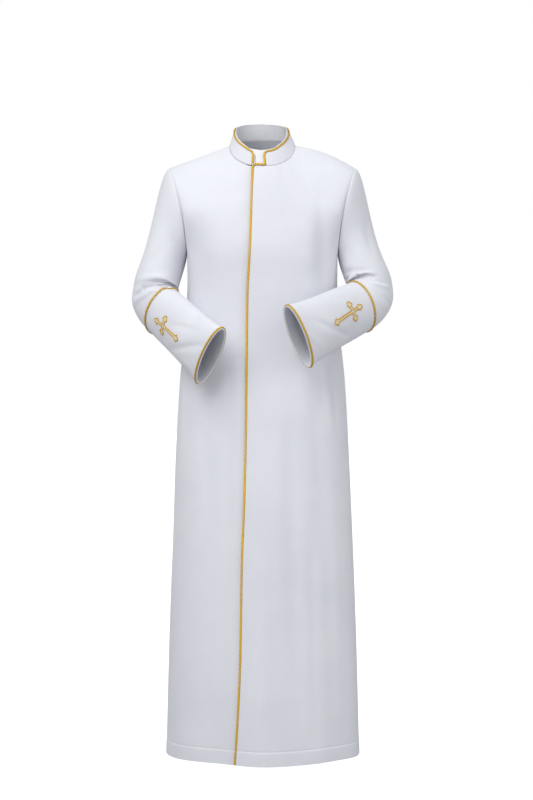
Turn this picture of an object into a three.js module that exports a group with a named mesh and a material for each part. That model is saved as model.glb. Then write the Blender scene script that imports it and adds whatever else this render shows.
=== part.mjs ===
// A full-length white clergy cassock, worn: two fronts, a back, two sleeves with cuff panels,
// a standing collar with a white insert, gold piping and an embroidered cross on each cuff.
// Millimetres, +Z up. The wearer faces -Y and the wearer's left is +X.
// The origin is where the garment hangs: midway between the shoulders, at the base of the neck.
// Every panel is one wall of cloth, worked out from the tables of sections below.
import * as THREE from "three";

// ---------------------------------------------------------------- cloth and seams
const CLOTH = 1.8; // thickness of the suiting
const SEAM_GAP = 0.3; // between two pieces that are sewn together
const HEM_DEPTH = 34; // turned-up hem
const HEM_RAISE = 0.7; // the hem is a double layer
const UNDERLAP = 35; // how far the right front runs under the lap
const LAP_RAMP = 26; // length over which the right front sinks below the lap
const LAP_SINK = CLOTH + 1.2;
const LAP_CORNER = 6; // rounding of the lap's upper corner

// ---------------------------------------------------------------- body
const HEM_LEVEL = -1485;
const UNDERARM_LEVEL = -272;
// Level cross-sections of the garment below the underarm. `square` is 2 for an ellipse, more for a box.
const BODY_SECTIONS = [
  { level: -1485, halfWidth: 236, front: 224, back: 217, centre: 1, square: 2.0 },
  { level: -1410, halfWidth: 234, front: 219, back: 213, centre: 1, square: 2.0 },
  { level: -1250, halfWidth: 230, front: 206, back: 203, centre: 1, square: 2.0 },
  { level: -1095, halfWidth: 225, front: 192, back: 192, centre: 1, square: 2.0 },
  { level: -940, halfWidth: 219, front: 177, back: 180, centre: 1, square: 2.0 },
  { level: -780, halfWidth: 213, front: 160, back: 166, centre: 0, square: 2.0 },
  { level: -625, halfWidth: 205, front: 143, back: 149, centre: 0, square: 2.05 },
  { level: -556, halfWidth: 200, front: 134, back: 139, centre: 0, square: 2.1 },
  { level: -480, halfWidth: 192, front: 125, back: 129, centre: 0, square: 2.1 },
  { level: -400, halfWidth: 186, front: 122, back: 125, centre: 0, square: 2.2 },
  { level: -330, halfWidth: 183, front: 125, back: 129, centre: 0, square: 2.45 },
  { level: -272, halfWidth: 184, front: 129, back: 133, centre: 0, square: 2.7 },
  { level: -214, halfWidth: 183, front: 125, back: 129, centre: 0, square: 2.45 }, // levels the row below
];
// Soft folds that run down the skirt: `angle` is 0 at the centre front, 90 at the wearer's left side,
// 180 at the back. `depth` is outward at the hem, and the fold fades out between `full` and `top`.
const SKIRT_FOLDS = [
  { angle: -58, width: 15, depth: 5, top: -640, full: -1250 },
  { angle: -27, width: 12, depth: -8, top: -560, full: -1150 },
  { angle: -3, width: 10, depth: 6, top: -520, full: -1100 },
  { angle: 22, width: 13, depth: -7, top: -470, full: -1000 },
  { angle: 46, width: 11, depth: -4, top: -600, full: -1200 },
  { angle: 66, width: 12, depth: 6, top: -640, full: -1250 },
  { angle: 112, width: 13, depth: -8, top: -560, full: -1150 },
  { angle: 136, width: 11, depth: 7, top: -520, full: -1100 },
  { angle: 163, width: 12, depth: -8, top: -470, full: -1050 },
  { angle: 186, width: 10, depth: 7, top: -500, full: -1100 },
  { angle: 213, width: 12, depth: -8, top: -480, full: -1000 },
  { angle: 241, width: 13, depth: 7, top: -600, full: -1200 },
];
// The piped edge of the left front: how far its edge stands from the middle at each level.
const LAP_EDGE = [
  { level: -1485, x: -62 },
  { level: -1360, x: -54.5 },
  { level: -1240, x: -49.5 },
  { level: -1000, x: -45.5 },
  { level: -890, x: -41 },
  { level: -700, x: -36.5 },
  { level: -540, x: -35 },
  { level: -370, x: -33 },
  { level: -250, x: -27 },
  { level: -100, x: -22.5 },
  { level: 0, x: -21 },
];
const HEM_DROP = { depth: 5, angle: 12, width: 32, above: 500 }; // the left front hangs a little lower

// ---------------------------------------------------------------- shoulders, armholes and neck
const SHOULDER_TIP = { x: 226, y: 5, z: -56 };
const SHOULDER_ARCH = { left: 9, right: -1 }; // how far each shoulder seam rises above a straight line
const ARMHOLE = { middle: -164, halfHeight: 108, front: 84, back: 92, frontCurve: 1.7, backCurve: 1.15 };
const NECK = { halfWidth: 80, halfDepth: 70, y: -5, centre: 0 };
// Height of the neckline, going round from the centre front (0) to the centre back (180).
const NECKLINE = [
  { angle: 0, z: -59 },
  { angle: 25, z: -55.5 },
  { angle: 45, z: -45 },
  { angle: 60, z: -34 },
  { angle: 75, z: -19 },
  { angle: 90, z: -3 },
  { angle: 105, z: 7 },
  { angle: 130, z: 14 },
  { angle: 180, z: 18 },
];
const NECK_SIDE_ANGLE = 92; // where the shoulder seam meets the neckline
const NECK_SHARE = 0.42; // share of a panel's columns that end at the neckline
// Depth of the centre front and centre back above the underarm, as a share of the way to the neck.
const CENTRE_PROFILES = [
  { rise: 0, front: 0, back: 0 },
  { rise: 0.1, front: 0.01, back: -0.004 },
  { rise: 0.3, front: 0.1, back: -0.03 },
  { rise: 0.55, front: 0.3, back: 0.08 },
  { rise: 0.8, front: 0.64, back: 0.48 },
  { rise: 1, front: 1, back: 1 },
];
// How quickly the chest leaves its lower edge, and takes on the corner of the neckline.
const CHEST_BLEND = { height: 1, depth: 1.7, cornerHeight: 2, cornerDepth: 3, armhole: 6 };

// ---------------------------------------------------------------- sleeves and cuffs
// Each sleeve follows a bent arm: down from below the armhole, round the elbow, forward to the wrist.
const ARMS = [
  {
    side: 1,
    name: "left",
    top: [243, 0, -290],
    elbow: [277, -26, -378],
    wrist: [83, -226, -476],
    crossAround: 107,
    crossTilt: 7,
  },
  {
    side: -1,
    name: "right",
    top: [-243, 0, -290],
    elbow: [-272, -18, -380],
    wrist: [-121, -213, -522],
    crossAround: 118,
    crossTilt: 0,
  },
];
const ELBOW_RADIUS = 70;
// Half sizes of the sleeve's oval, and the turn of its long axis away from the crook of the elbow.
const SLEEVE_RINGS = [
  { share: 0, long: 72, short: 53, turn: 48 },
  { share: 0.16, long: 69, short: 55, turn: 38 },
  { share: 0.26, long: 62, short: 57, turn: 26 },
  { share: 0.385, long: 63, short: 45, turn: 22 },
  { share: 0.55, long: 67, short: 40, turn: 22 },
  { share: 0.8, long: 71, short: 34, turn: 22 },
  { share: 1, long: 79, short: 25.5, turn: 23 },
];
const PIPED_SEAM = 0.385; // share of the arm where the cuff panel starts
const CUFF_SLANT = 8; // how much further the cuff reaches on the side of the elbow's crook
const SLEEVE_START = 140; // turn between the ring's own start and the top of the armhole
// How the sleeve leaves the armhole: shares sideways, forward and down, at the underarm and the shoulder,
// and how far it keeps that direction, and the sleeve's, as shares of the way between them.
const SLEEVE_HEAD = {
  underarm: { sideways: 0.35, down: 0.94 },
  shoulder: { sideways: 0.93, down: 0.37 },
  forward: 0.15,
  armholeHold: 0.12,
  ringHold: 0.42,
  crowding: 1.3, // rings stand closer together at the armhole
};
// Creases and bulges of the sleeves: place along the arm and round it, half lengths, outward depth.
const SLEEVE_FOLDS = [
  { share: 0.215, around: 0, alongShare: 0.022, aroundWidth: 60, depth: -9 },
  { share: 0.16, around: 14, alongShare: 0.03, aroundWidth: 45, depth: 6 },
  { share: 0.27, around: -8, alongShare: 0.025, aroundWidth: 50, depth: 4 },
  { share: 0.2, around: 122, alongShare: 0.05, aroundWidth: 30, depth: -5 },
  { share: 0.27, around: 190, alongShare: 0.07, aroundWidth: 45, depth: -2 },
  { share: 0.62, around: 150, alongShare: 0.12, aroundWidth: 26, depth: -5 },
  { share: 0.78, around: 118, alongShare: 0.09, aroundWidth: 24, depth: 4 },
];

// ---------------------------------------------------------------- collar, insert, piping and crosses
const COLLAR = { halfWidth: 68.5, halfDepth: 62, y: -7, centre: -2, corner: 9, lift: 0.8 };
// Height of the collar's top edge, going round from the centre front (0) to the centre back (180).
const COLLAR_TOP = [
  { angle: 0, z: -27 },
  { angle: 25, z: -22 },
  { angle: 40, z: -12 },
  { angle: 57, z: 0 },
  { angle: 75, z: 14 },
  { angle: 90, z: 27 },
  { angle: 110, z: 38 },
  { angle: 140, z: 46 },
  { angle: 180, z: 50 },
];
const COLLAR_ENDS = { right: -26.5, left: 10 }; // how far each front end stands from the middle
const INSERT = { thickness: 1.2, clearance: 0.9, above: 7.8, lift: 1.5 };
const PIPING = { halfWidth: 2.2, halfHeight: 1.5, clearance: 0.3, sides: 6, fromCuffEdge: 3.8 };
// How the collar's and the lap's piping sit: extra reach off the edge, lift off the cloth, the lap
// corner's distance to the collar's left end, and where each upright starts as a share of its height.
const EDGE_PIPING = {
  collarReach: 0.3,
  collarOut: 0.2,
  neckLift: 0.6,
  lapOut: 0.7,
  collarGap: 2.4,
  leftStart: 0.12,
  rightStart: 0.32,
};
const CROSS = {
  centre: 68, // from the piped seam
  head: 34,
  foot: 70,
  arm: 27,
  halfWidth: 3.0,
  crotch: 0.6, // rounding where two arms of the cross meet
  strand: 1.3,
  height: 1.0,
};
// Half the outline of a cross's budded end: back from its tip, and out from its middle line.
const CROSS_END = [
  { back: 14, out: 3 },
  { back: 12.4, out: 5 },
  { back: 10.6, out: 7.7 },
  { back: 8.8, out: 7.8 },
  { back: 7.6, out: 5.6 },
  { back: 5.8, out: 4.6 },
  { back: 2.8, out: 3.8 },
];

// ---------------------------------------------------------------- mesh fineness
const SKIRT_LEVELS = [-1330, -1210, -1090, -970, -860, -760, -670, -590, -520, -455, -400, -355, -318, -290];
const CHEST_ROWS = 12;
const FRONT_COLUMNS = 16;
const LAP_CROWDING = 1.3; // columns stand closer together at the lap
const BACK_COLUMNS = 26;
const ARMHOLE_RINGS = 4;
const SLEEVE_SHARES = [0.06, 0.12, 0.155, 0.185, 0.215, 0.245, 0.275, 0.32];
const CUFF_SHARES = [0.45, 0.53, 0.61, 0.69, 0.77, 0.85, 0.93];
const COLLAR_COLUMNS = 36;
const INSERT_COLUMNS = 32;

// ---------------------------------------------------------------- colours
const WHITE_CLOTH = { color: 0xe9eaf2, roughness: 0.85, metalness: 0 };
const WHITE_INSERT = { color: 0xf2f3f8, roughness: 0.6, metalness: 0 };
const GOLD_CORD = { color: 0xc99a35, roughness: 0.45, metalness: 0.35 };

const DEGREE = Math.PI / 180;
const vector = (x, y, z) => new THREE.Vector3(x, y, z);
const mix = THREE.MathUtils.lerp;

// ---------------------------------------------------------------- tables and surfaces

// Reads a column of a table at a place between its rows, with a smooth curve through the rows.
function readTable(rows, key, place, column) {
  const sorted = rows[0][key] <= rows[rows.length - 1][key] ? rows : [...rows].reverse();
  const last = sorted.length - 1;
  if (place <= sorted[0][key]) return sorted[0][column];
  if (place >= sorted[last][key]) return sorted[last][column];
  let i = 0;
  while (sorted[i + 1][key] < place) i += 1;
  const slope = (j) => {
    const low = sorted[Math.max(j - 1, 0)];
    const high = sorted[Math.min(j + 1, last)];
    return (high[column] - low[column]) / (high[key] - low[key]);
  };
  const span = sorted[i + 1][key] - sorted[i][key];
  const t = (place - sorted[i][key]) / span;
  const startShare = (1 + 2 * t) * (1 - t) * (1 - t);
  const endShare = t * t * (3 - 2 * t);
  const startSlope = t * (1 - t) * (1 - t) * span;
  const endSlope = t * t * (t - 1) * span;
  return (
    startShare * sorted[i][column] +
    endShare * sorted[i + 1][column] +
    startSlope * slope(i) +
    endSlope * slope(i + 1)
  );
}

const bell = (offset, width) => Math.exp(-((offset / width) ** 2));
const roundPower = (value, power) => Math.sign(value) * Math.abs(value) ** power;
const turnBetween = (a, b) => ((((a - b) % 360) + 540) % 360) - 180;

// Outward depth of all the skirt folds at an angle and level.
function skirtFold(angle, level) {
  return SKIRT_FOLDS.reduce((sum, fold) => {
    const growth = THREE.MathUtils.smoothstep(-level, -fold.top, -fold.full);
    return sum + fold.depth * growth * bell(turnBetween(angle, fold.angle), fold.width);
  }, 0);
}

// A point of the garment's outside below the underarm.
function skirtPoint(angle, level) {
  const sine = Math.sin(angle * DEGREE);
  const cosine = Math.cos(angle * DEGREE);
  const power = 2 / readTable(BODY_SECTIONS, "level", level, "square");
  const depth = readTable(BODY_SECTIONS, "level", level, cosine > 0 ? "front" : "back");
  const halfWidth = readTable(BODY_SECTIONS, "level", level, "halfWidth");
  const fold = skirtFold(angle, level);
  const drop = HEM_DROP.depth * bell(turnBetween(angle, HEM_DROP.angle), HEM_DROP.width);
  const nearHem = THREE.MathUtils.smoothstep(HEM_LEVEL + HEM_DROP.above - level, 0, HEM_DROP.above);
  return vector(
    readTable(BODY_SECTIONS, "level", level, "centre") + halfWidth * roundPower(sine, power) + fold * sine,
    -depth * roundPower(cosine, power) - fold * cosine,
    level - drop * nearHem,
  );
}

// How far the armhole stands from the middle of the body at its own middle height.
function armholeDepth(isBack) {
  return (isBack ? ARMHOLE.back : -ARMHOLE.front) + SHOULDER_TIP.y / 2;
}

// The armhole's edge: 0 at the shoulder tip, 90 at the front, 180 at the underarm, 270 at the back.
function armholePoint(angle) {
  const cosine = Math.cos(angle * DEGREE);
  const sine = Math.sin(angle * DEGREE);
  const rise = (1 + cosine) / 2;
  const underarm = skirtPoint(90, UNDERARM_LEVEL);
  const curve = sine >= 0 ? ARMHOLE.frontCurve : ARMHOLE.backCurve;
  const depth = sine >= 0 ? ARMHOLE.front : ARMHOLE.back;
  return vector(
    mix(underarm.x, SHOULDER_TIP.x, rise ** curve),
    -depth * sine + SHOULDER_TIP.y * rise,
    ARMHOLE.middle + ARMHOLE.halfHeight * cosine,
  );
}

// The neckline's edge, going round from the centre front (0) to the centre back (180).
function necklinePoint(angle) {
  const away = Math.abs(turnBetween(angle, 0));
  return vector(
    NECK.centre + NECK.halfWidth * Math.sin(angle * DEGREE),
    NECK.y - NECK.halfDepth * Math.cos(angle * DEGREE),
    readTable(NECKLINE, "angle", away, "z"),
  );
}

// The upper edge of half a panel: the neckline from the middle, then the shoulder seam.
function upperEdge(share, isBack, isLeft) {
  const start = isBack ? 180 : 0;
  if (share <= NECK_SHARE) {
    return necklinePoint(mix(start, NECK_SIDE_ANGLE, share / NECK_SHARE));
  }
  const along = (share - NECK_SHARE) / (1 - NECK_SHARE);
  const neck = necklinePoint(NECK_SIDE_ANGLE);
  const tip = vector(SHOULDER_TIP.x, SHOULDER_TIP.y, SHOULDER_TIP.z);
  const point = neck.lerp(tip, along);
  point.z += (isLeft ? SHOULDER_ARCH.left : SHOULDER_ARCH.right) * Math.sin(Math.PI * along);
  return point;
}

// Half of the chest or back above the underarm, blended between its four edges.
// `share` goes from the middle (0) to the armhole (1) and `rise` from the underarm (0) to the top (1).
// The corner between neckline and shoulder seam fades out quickly below the seam, and the hollow
// under the arm fades out quickly away from the armhole.
function chestPoint(share, rise, isBack, isLeft) {
  const blend = (1 - Math.cos(Math.PI * rise)) / 2;
  const angleAt = (part) => (isBack ? 180 - 90 * part : 90 * part);
  const lower = skirtPoint(angleAt(share), UNDERARM_LEVEL);
  const low = skirtPoint(angleAt(0), UNDERARM_LEVEL);
  const lowSide = skirtPoint(90, UNDERARM_LEVEL);
  const upper = upperEdge(share, isBack, isLeft);
  const high = upperEdge(0, isBack, isLeft);
  const highSide = upperEdge(1, isBack, isLeft);
  const profile = readTable(CENTRE_PROFILES, "rise", blend, isBack ? "back" : "front");
  const middle = vector(mix(low.x, high.x, blend), mix(low.y, high.y, profile), mix(low.z, high.z, blend));
  const armhole = armholePoint(isBack ? 180 + 180 * rise : 180 - 180 * rise);
  const soft = armhole.clone();
  if (blend < 0.5) soft.y = armholeDepth(isBack) * THREE.MathUtils.smoothstep(blend, 0, 0.5);
  const nearArmhole = share ** CHEST_BLEND.armhole;
  const outward = 1 - Math.cos((Math.PI / 2) * share); // level at the middle of the chest
  const between = (axis) => {
    const power = axis === "z" ? CHEST_BLEND.height : CHEST_BLEND.depth;
    const corner = axis === "z" ? CHEST_BLEND.cornerHeight : CHEST_BLEND.cornerDepth;
    const part = blend ** power;
    const straight = mix(high[axis], highSide[axis], share);
    const cornerPart = (upper[axis] - straight) * blend ** corner;
    const rows = mix(lower[axis], straight, part) + cornerPart;
    const columns = mix(middle[axis], soft[axis], outward) + (armhole[axis] - soft[axis]) * nearArmhole;
    const lowCorner = mix(low[axis], lowSide[axis], outward);
    const highCorner = mix(high[axis], highSide[axis], outward);
    return rows + columns - mix(lowCorner, highCorner, part);
  };
  return vector(between("x"), between("y"), between("z"));
}

// A point of the whole body's outside. `level` is the height below the underarm. Above the underarm
// it runs on evenly, up to 0 at the neckline and the shoulder seam.
function bodyPoint(angle, level) {
  if (level <= UNDERARM_LEVEL) return skirtPoint(angle, level);
  const turned = turnBetween(angle, 0);
  const away = Math.abs(turned);
  const rise = 1 - level / UNDERARM_LEVEL;
  const isBack = away > 90;
  const isLeft = turned > 0;
  const point = chestPoint(isBack ? (180 - away) / 90 : away / 90, rise, isBack, isLeft);
  const middle = chestPoint(0, rise, isBack, isLeft).x;
  if (!isLeft) point.x = 2 * middle - point.x;
  return point;
}

// The angle at which the body's front has a given x at a level.
function angleAtX(x, level) {
  let low = -60;
  let high = 60;
  for (let step = 0; step < 30; step += 1) {
    const middle = (low + high) / 2;
    if (bodyPoint(middle, level).x < x) low = middle;
    else high = middle;
  }
  return (low + high) / 2;
}

const lapEdgeX = (level) => readTable(LAP_EDGE, "level", level, "x");

// ---------------------------------------------------------------- walls of cloth

// The inward direction at each point of a grid, from the directions to its neighbours.
// A round grid's directions point towards the middle of its rows.
function inwardDirections(grid, isRound) {
  const rows = grid.length;
  const columns = grid[0].length;
  const directions = grid.map((row, i) =>
    row.map((point, j) => {
      const before = isRound ? (j + columns - 1) % columns : Math.max(j - 1, 0);
      const after = isRound ? (j + 1) % columns : Math.min(j + 1, columns - 1);
      const across = row[after].clone().sub(row[before]);
      const upward = grid[Math.min(i + 1, rows - 1)][j].clone().sub(grid[Math.max(i - 1, 0)][j]);
      return upward.cross(across).normalize();
    }),
  );
  const [start, opposite] = [grid[0][0], grid[0][Math.floor(columns / 2)]];
  if (isRound && directions[0][0].dot(opposite.clone().sub(start)) < 0) {
    directions.flat().forEach((direction) => direction.negate());
  }
  return directions;
}

// A closed wall: the outer grid, an inner grid one thickness away, and rims round the open edges.
// Columns run so that (along a row) x (up the columns) points outward.
function wall(outer, inward, thickness, isRound) {
  const rows = outer.length;
  const columns = outer[0].length;
  const positions = [];
  const addGrid = (offset) => {
    outer.forEach((row, i) =>
      row.forEach((point, j) => {
        const moved = point.clone().addScaledVector(inward[i][j], offset);
        positions.push(moved.x, moved.y, moved.z);
      }),
    );
  };
  addGrid(0);
  addGrid(thickness);
  const inside = rows * columns;
  const at = (i, j, layer) => layer * inside + i * columns + (j % columns);
  const indices = [];
  const quad = (a, b, c, d) => indices.push(a, b, c, a, c, d);
  const lastColumn = isRound ? columns : columns - 1;
  for (let i = 0; i < rows - 1; i += 1) {
    for (let j = 0; j < lastColumn; j += 1) {
      quad(at(i, j, 0), at(i, j + 1, 0), at(i + 1, j + 1, 0), at(i + 1, j, 0));
      quad(at(i, j, 1), at(i + 1, j, 1), at(i + 1, j + 1, 1), at(i, j + 1, 1));
    }
  }
  for (let j = 0; j < lastColumn; j += 1) {
    quad(at(0, j, 0), at(0, j, 1), at(0, j + 1, 1), at(0, j + 1, 0));
    quad(at(rows - 1, j, 0), at(rows - 1, j + 1, 0), at(rows - 1, j + 1, 1), at(rows - 1, j, 1));
  }
  if (!isRound) {
    for (let i = 0; i < rows - 1; i += 1) {
      quad(at(i, 0, 0), at(i + 1, 0, 0), at(i + 1, 0, 1), at(i, 0, 1));
      const end = columns - 1;
      quad(at(i, end, 0), at(i, end, 1), at(i + 1, end, 1), at(i + 1, end, 0));
    }
  }
  return closedGeometry(positions, indices);
}

function closedGeometry(positions, indices) {
  const geometry = new THREE.BufferGeometry();
  geometry.setAttribute("position", new THREE.Float32BufferAttribute(positions, 3));
  geometry.setIndex(indices);
  geometry.computeVertexNormals();
  return geometry;
}

// A cord of oval section along a path. Each path point has `centre`, `across` and `out`.
function cord(path, halfWidth, halfHeight, sides, isLoop) {
  const positions = [];
  path.forEach(({ centre, across, out }) => {
    for (let k = 0; k < sides; k += 1) {
      const turn = (2 * Math.PI * k) / sides;
      const point = centre
        .clone()
        .addScaledVector(across, halfWidth * Math.cos(turn))
        .addScaledVector(out, halfHeight * Math.sin(turn));
      positions.push(point.x, point.y, point.z);
    }
  });
  const count = path.length;
  const at = (i, k) => (i % count) * sides + (k % sides);
  const indices = [];
  for (let i = 0; i < (isLoop ? count : count - 1); i += 1) {
    for (let k = 0; k < sides; k += 1) {
      indices.push(at(i, k), at(i + 1, k), at(i + 1, k + 1));
      indices.push(at(i, k), at(i + 1, k + 1), at(i, k + 1));
    }
  }
  if (!isLoop) {
    for (let k = 1; k < sides - 1; k += 1) {
      indices.push(at(0, 0), at(0, k), at(0, k + 1));
      indices.push(at(count - 1, 0), at(count - 1, k + 1), at(count - 1, k));
    }
  }
  return outwardFacing(closedGeometry(positions, indices));
}

// Turns a closed surface round if its faces point inwards.
function outwardFacing(geometry) {
  const corner = geometry.getAttribute("position");
  const index = geometry.getIndex();
  const [a, b, c] = [vector(), vector(), vector()];
  let volume = 0;
  for (let i = 0; i < index.count; i += 3) {
    a.fromBufferAttribute(corner, index.getX(i));
    b.fromBufferAttribute(corner, index.getX(i + 1));
    c.fromBufferAttribute(corner, index.getX(i + 2));
    volume += a.dot(b.cross(c));
  }
  if (volume < 0) {
    for (let i = 0; i < index.count; i += 3) {
      const second = index.getX(i + 1);
      index.setX(i + 1, index.getX(i + 2));
      index.setX(i + 2, second);
    }
  }
  return geometry;
}

const root = new THREE.Group();

function addPiece(name, geometry, finish) {
  const mesh = new THREE.Mesh(outwardFacing(geometry), new THREE.MeshStandardMaterial(finish));
  mesh.name = name;
  root.add(mesh);
}

// ---------------------------------------------------------------- the three body panels

// Levels of a panel's rows, with the hem's step and the rows of the chest.
function panelLevels() {
  const hemTop = HEM_LEVEL + HEM_DEPTH;
  const chest = Array.from({ length: CHEST_ROWS + 1 }, (_, i) => UNDERARM_LEVEL * (1 - i / CHEST_ROWS));
  return [HEM_LEVEL, hemTop - 1, hemTop, ...SKIRT_LEVELS, ...chest];
}

// Straight down the shoulder seam's own slope, for both panels that meet there.
function shoulderInward(side) {
  const neck = necklinePoint(NECK_SIDE_ANGLE);
  return vector(side * (SHOULDER_TIP.z - neck.z), 0, neck.x - SHOULDER_TIP.x).normalize();
}

// Towards the middle of the armhole, for the sleeve and the panels where the shoulder is rounded.
function armholeInward(angle, side) {
  const middle = armholePoint(0).add(armholePoint(180)).multiplyScalar(0.5);
  middle.y = 0;
  const inward = middle.sub(armholePoint(angle)).normalize();
  inward.x *= side;
  return inward;
}

// Makes the inward directions of a panel agree with its neighbours at the seams.
function matchSeams(inward, levels, angles) {
  levels.forEach((level, i) => {
    angles[i].forEach((angle, j) => {
      const turned = turnBetween(angle, 0);
      const side = Math.sign(turned);
      const away = Math.abs(turned);
      const atSide = Math.abs(away - 90) < 0.5;
      if (atSide && level <= UNDERARM_LEVEL) inward[i][j] = vector(-side, 0, 0);
      if (atSide && level > UNDERARM_LEVEL) {
        const rise = 1 - level / UNDERARM_LEVEL;
        const towards = armholeInward(away > 90 ? 180 + 180 * rise : 180 - 180 * rise, side);
        inward[i][j].lerp(towards, THREE.MathUtils.smoothstep(rise, 0.2, 0.6)).normalize();
      }
      const share = away > 90 ? (180 - away) / 90 : away / 90;
      if (level === 0 && share > NECK_SHARE - 0.01) inward[i][j] = shoulderInward(side);
    });
  });
  return inward;
}

// Half a seam gap off a seam that lies at a right angle to the panel.
function openSeams(grid, levels, angles) {
  grid.forEach((row, i) =>
    row.forEach((point, j) => {
      const away = Math.abs(turnBetween(angles[i][j], 0));
      const atSide = Math.abs(away - 90) < 0.5;
      const direction = away > 90 ? 1 : -1;
      const share = away > 90 ? (180 - away) / 90 : away / 90;
      const onShoulder = levels[i] === 0 && share > NECK_SHARE - 0.01;
      if ((atSide && levels[i] <= UNDERARM_LEVEL) || onShoulder) point.y += (direction * SEAM_GAP) / 2;
    }),
  );
}

// One panel from an angle range at each level, with the hem raised and the lap sunk where asked.
function bodyPanel(angleAt, columns, sinkAt, cornerCut = 0) {
  const levels = panelLevels();
  const angles = levels.map((level) =>
    Array.from({ length: columns + 1 }, (_, j) => angleAt(level, j / columns)),
  );
  const grid = levels.map((level, i) => angles[i].map((angle) => bodyPoint(angle, level)));
  grid[grid.length - 1][0].z -= cornerCut;
  const inward = matchSeams(inwardDirections(grid, false), levels, angles);
  openSeams(grid, levels, angles);
  grid.forEach((row, i) =>
    row.forEach((point, j) => {
      const raise = levels[i] < HEM_LEVEL + HEM_DEPTH ? HEM_RAISE : 0;
      point.addScaledVector(inward[i][j], sinkAt(point, levels[i]) - raise);
    }),
  );
  return wall(grid, inward, CLOTH, false);
}

function addBodyPanels() {
  const notSunk = () => 0;
  const crowd = (share) => share ** LAP_CROWDING;
  const leftAngle = (level, share) => mix(angleAtX(lapEdgeX(level), level), 89.999, crowd(share));
  const rightAngle = (level, share) =>
    mix(angleAtX(lapEdgeX(level) + UNDERLAP, level), -89.999, crowd(1 - share));
  const backAngle = (level, share) => mix(90.001, 269.999, share);
  const underLap = (point, level) => {
    const reach = point.x - lapEdgeX(level) + LAP_RAMP;
    return LAP_SINK * THREE.MathUtils.smoothstep(reach, 0, LAP_RAMP * 0.8);
  };
  addPiece("front_left", bodyPanel(leftAngle, FRONT_COLUMNS, notSunk, LAP_CORNER), WHITE_CLOTH);
  addPiece("front_right", bodyPanel(rightAngle, FRONT_COLUMNS, underLap), WHITE_CLOTH);
  addPiece("back", bodyPanel(backAngle, BACK_COLUMNS, notSunk), WHITE_CLOTH);
}

// ---------------------------------------------------------------- sleeves

// The arm's path: straight, then an arc at the elbow, then straight.
function armPath(arm) {
  const top = vector(...arm.top);
  const elbow = vector(...arm.elbow);
  const wrist = vector(...arm.wrist);
  const down = elbow.clone().sub(top).normalize();
  const forward = wrist.clone().sub(elbow).normalize();
  const axis = down.clone().cross(forward).normalize();
  const bend = down.angleTo(forward);
  const tangentLength = ELBOW_RADIUS * Math.tan(bend / 2);
  const upperLength = top.distanceTo(elbow) - tangentLength;
  const arcLength = ELBOW_RADIUS * bend;
  const length = upperLength + arcLength + elbow.distanceTo(wrist) - tangentLength;
  const arcMiddle = top
    .clone()
    .addScaledVector(down, upperLength)
    .addScaledVector(axis.clone().cross(down), ELBOW_RADIUS);
  const at = (share) => {
    const distance = share * length;
    const turn = THREE.MathUtils.clamp((distance - upperLength) / ELBOW_RADIUS, 0, bend);
    const tangent = down.clone().applyAxisAngle(axis, turn);
    const crook = axis.clone().cross(tangent);
    const centre = arcMiddle.clone().addScaledVector(crook, -ELBOW_RADIUS);
    const beyond = Math.min(distance - upperLength, 0) + Math.max(distance - upperLength - arcLength, 0);
    centre.addScaledVector(tangent, beyond);
    return { centre, tangent, crook, outer: axis.clone().multiplyScalar(-arm.side) };
  };
  return { length, at };
}

// Outward depth of the sleeve's creases at a place along the arm and round it.
function sleeveFold(share, around) {
  return SLEEVE_FOLDS.reduce((sum, fold) => {
    const along = bell(share - fold.share, fold.alongShare);
    return sum + fold.depth * along * bell(turnBetween(around, fold.around), fold.aroundWidth);
  }, 0);
}

// A point of the sleeve's outside below the armhole. `around` is 0 in the crook of the elbow.
function sleevePoint(path, share, around) {
  const { centre, tangent, crook, outer } = path.at(share);
  const turn = readTable(SLEEVE_RINGS, "share", share, "turn") * DEGREE;
  const long = readTable(SLEEVE_RINGS, "share", share, "long");
  const short = readTable(SLEEVE_RINGS, "share", share, "short");
  const spread = 1 + sleeveFold(share, around) / ((long + short) / 2);
  const along = around * DEGREE - turn;
  const cosine = long * Math.cos(along) * spread;
  const sine = short * Math.sin(along) * spread;
  const slant = CUFF_SLANT * THREE.MathUtils.smoothstep(share, PIPED_SEAM, 1) * Math.cos(along);
  return centre
    .clone()
    .addScaledVector(crook, cosine * Math.cos(turn) - sine * Math.sin(turn))
    .addScaledVector(outer, cosine * Math.sin(turn) + sine * Math.cos(turn))
    .addScaledVector(tangent, slant);
}

// The inward direction of the sleeve's cloth, level with its ring at a place along the arm.
function ringInward(path, share, around) {
  const { centre, tangent } = path.at(share);
  const point = sleevePoint(path, share, around);
  const along = sleevePoint(path, share, around + 2).sub(sleevePoint(path, share, around - 2));
  const inward = along.cross(tangent).normalize();
  return inward.dot(centre.clone().sub(point)) < 0 ? inward.negate() : inward;
}

// A point off the sleeve's outside, raised from it.
function raisedSleevePoint(path, share, around, lift) {
  return sleevePoint(path, share, around).addScaledVector(ringInward(path, share, around), -lift);
}

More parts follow.
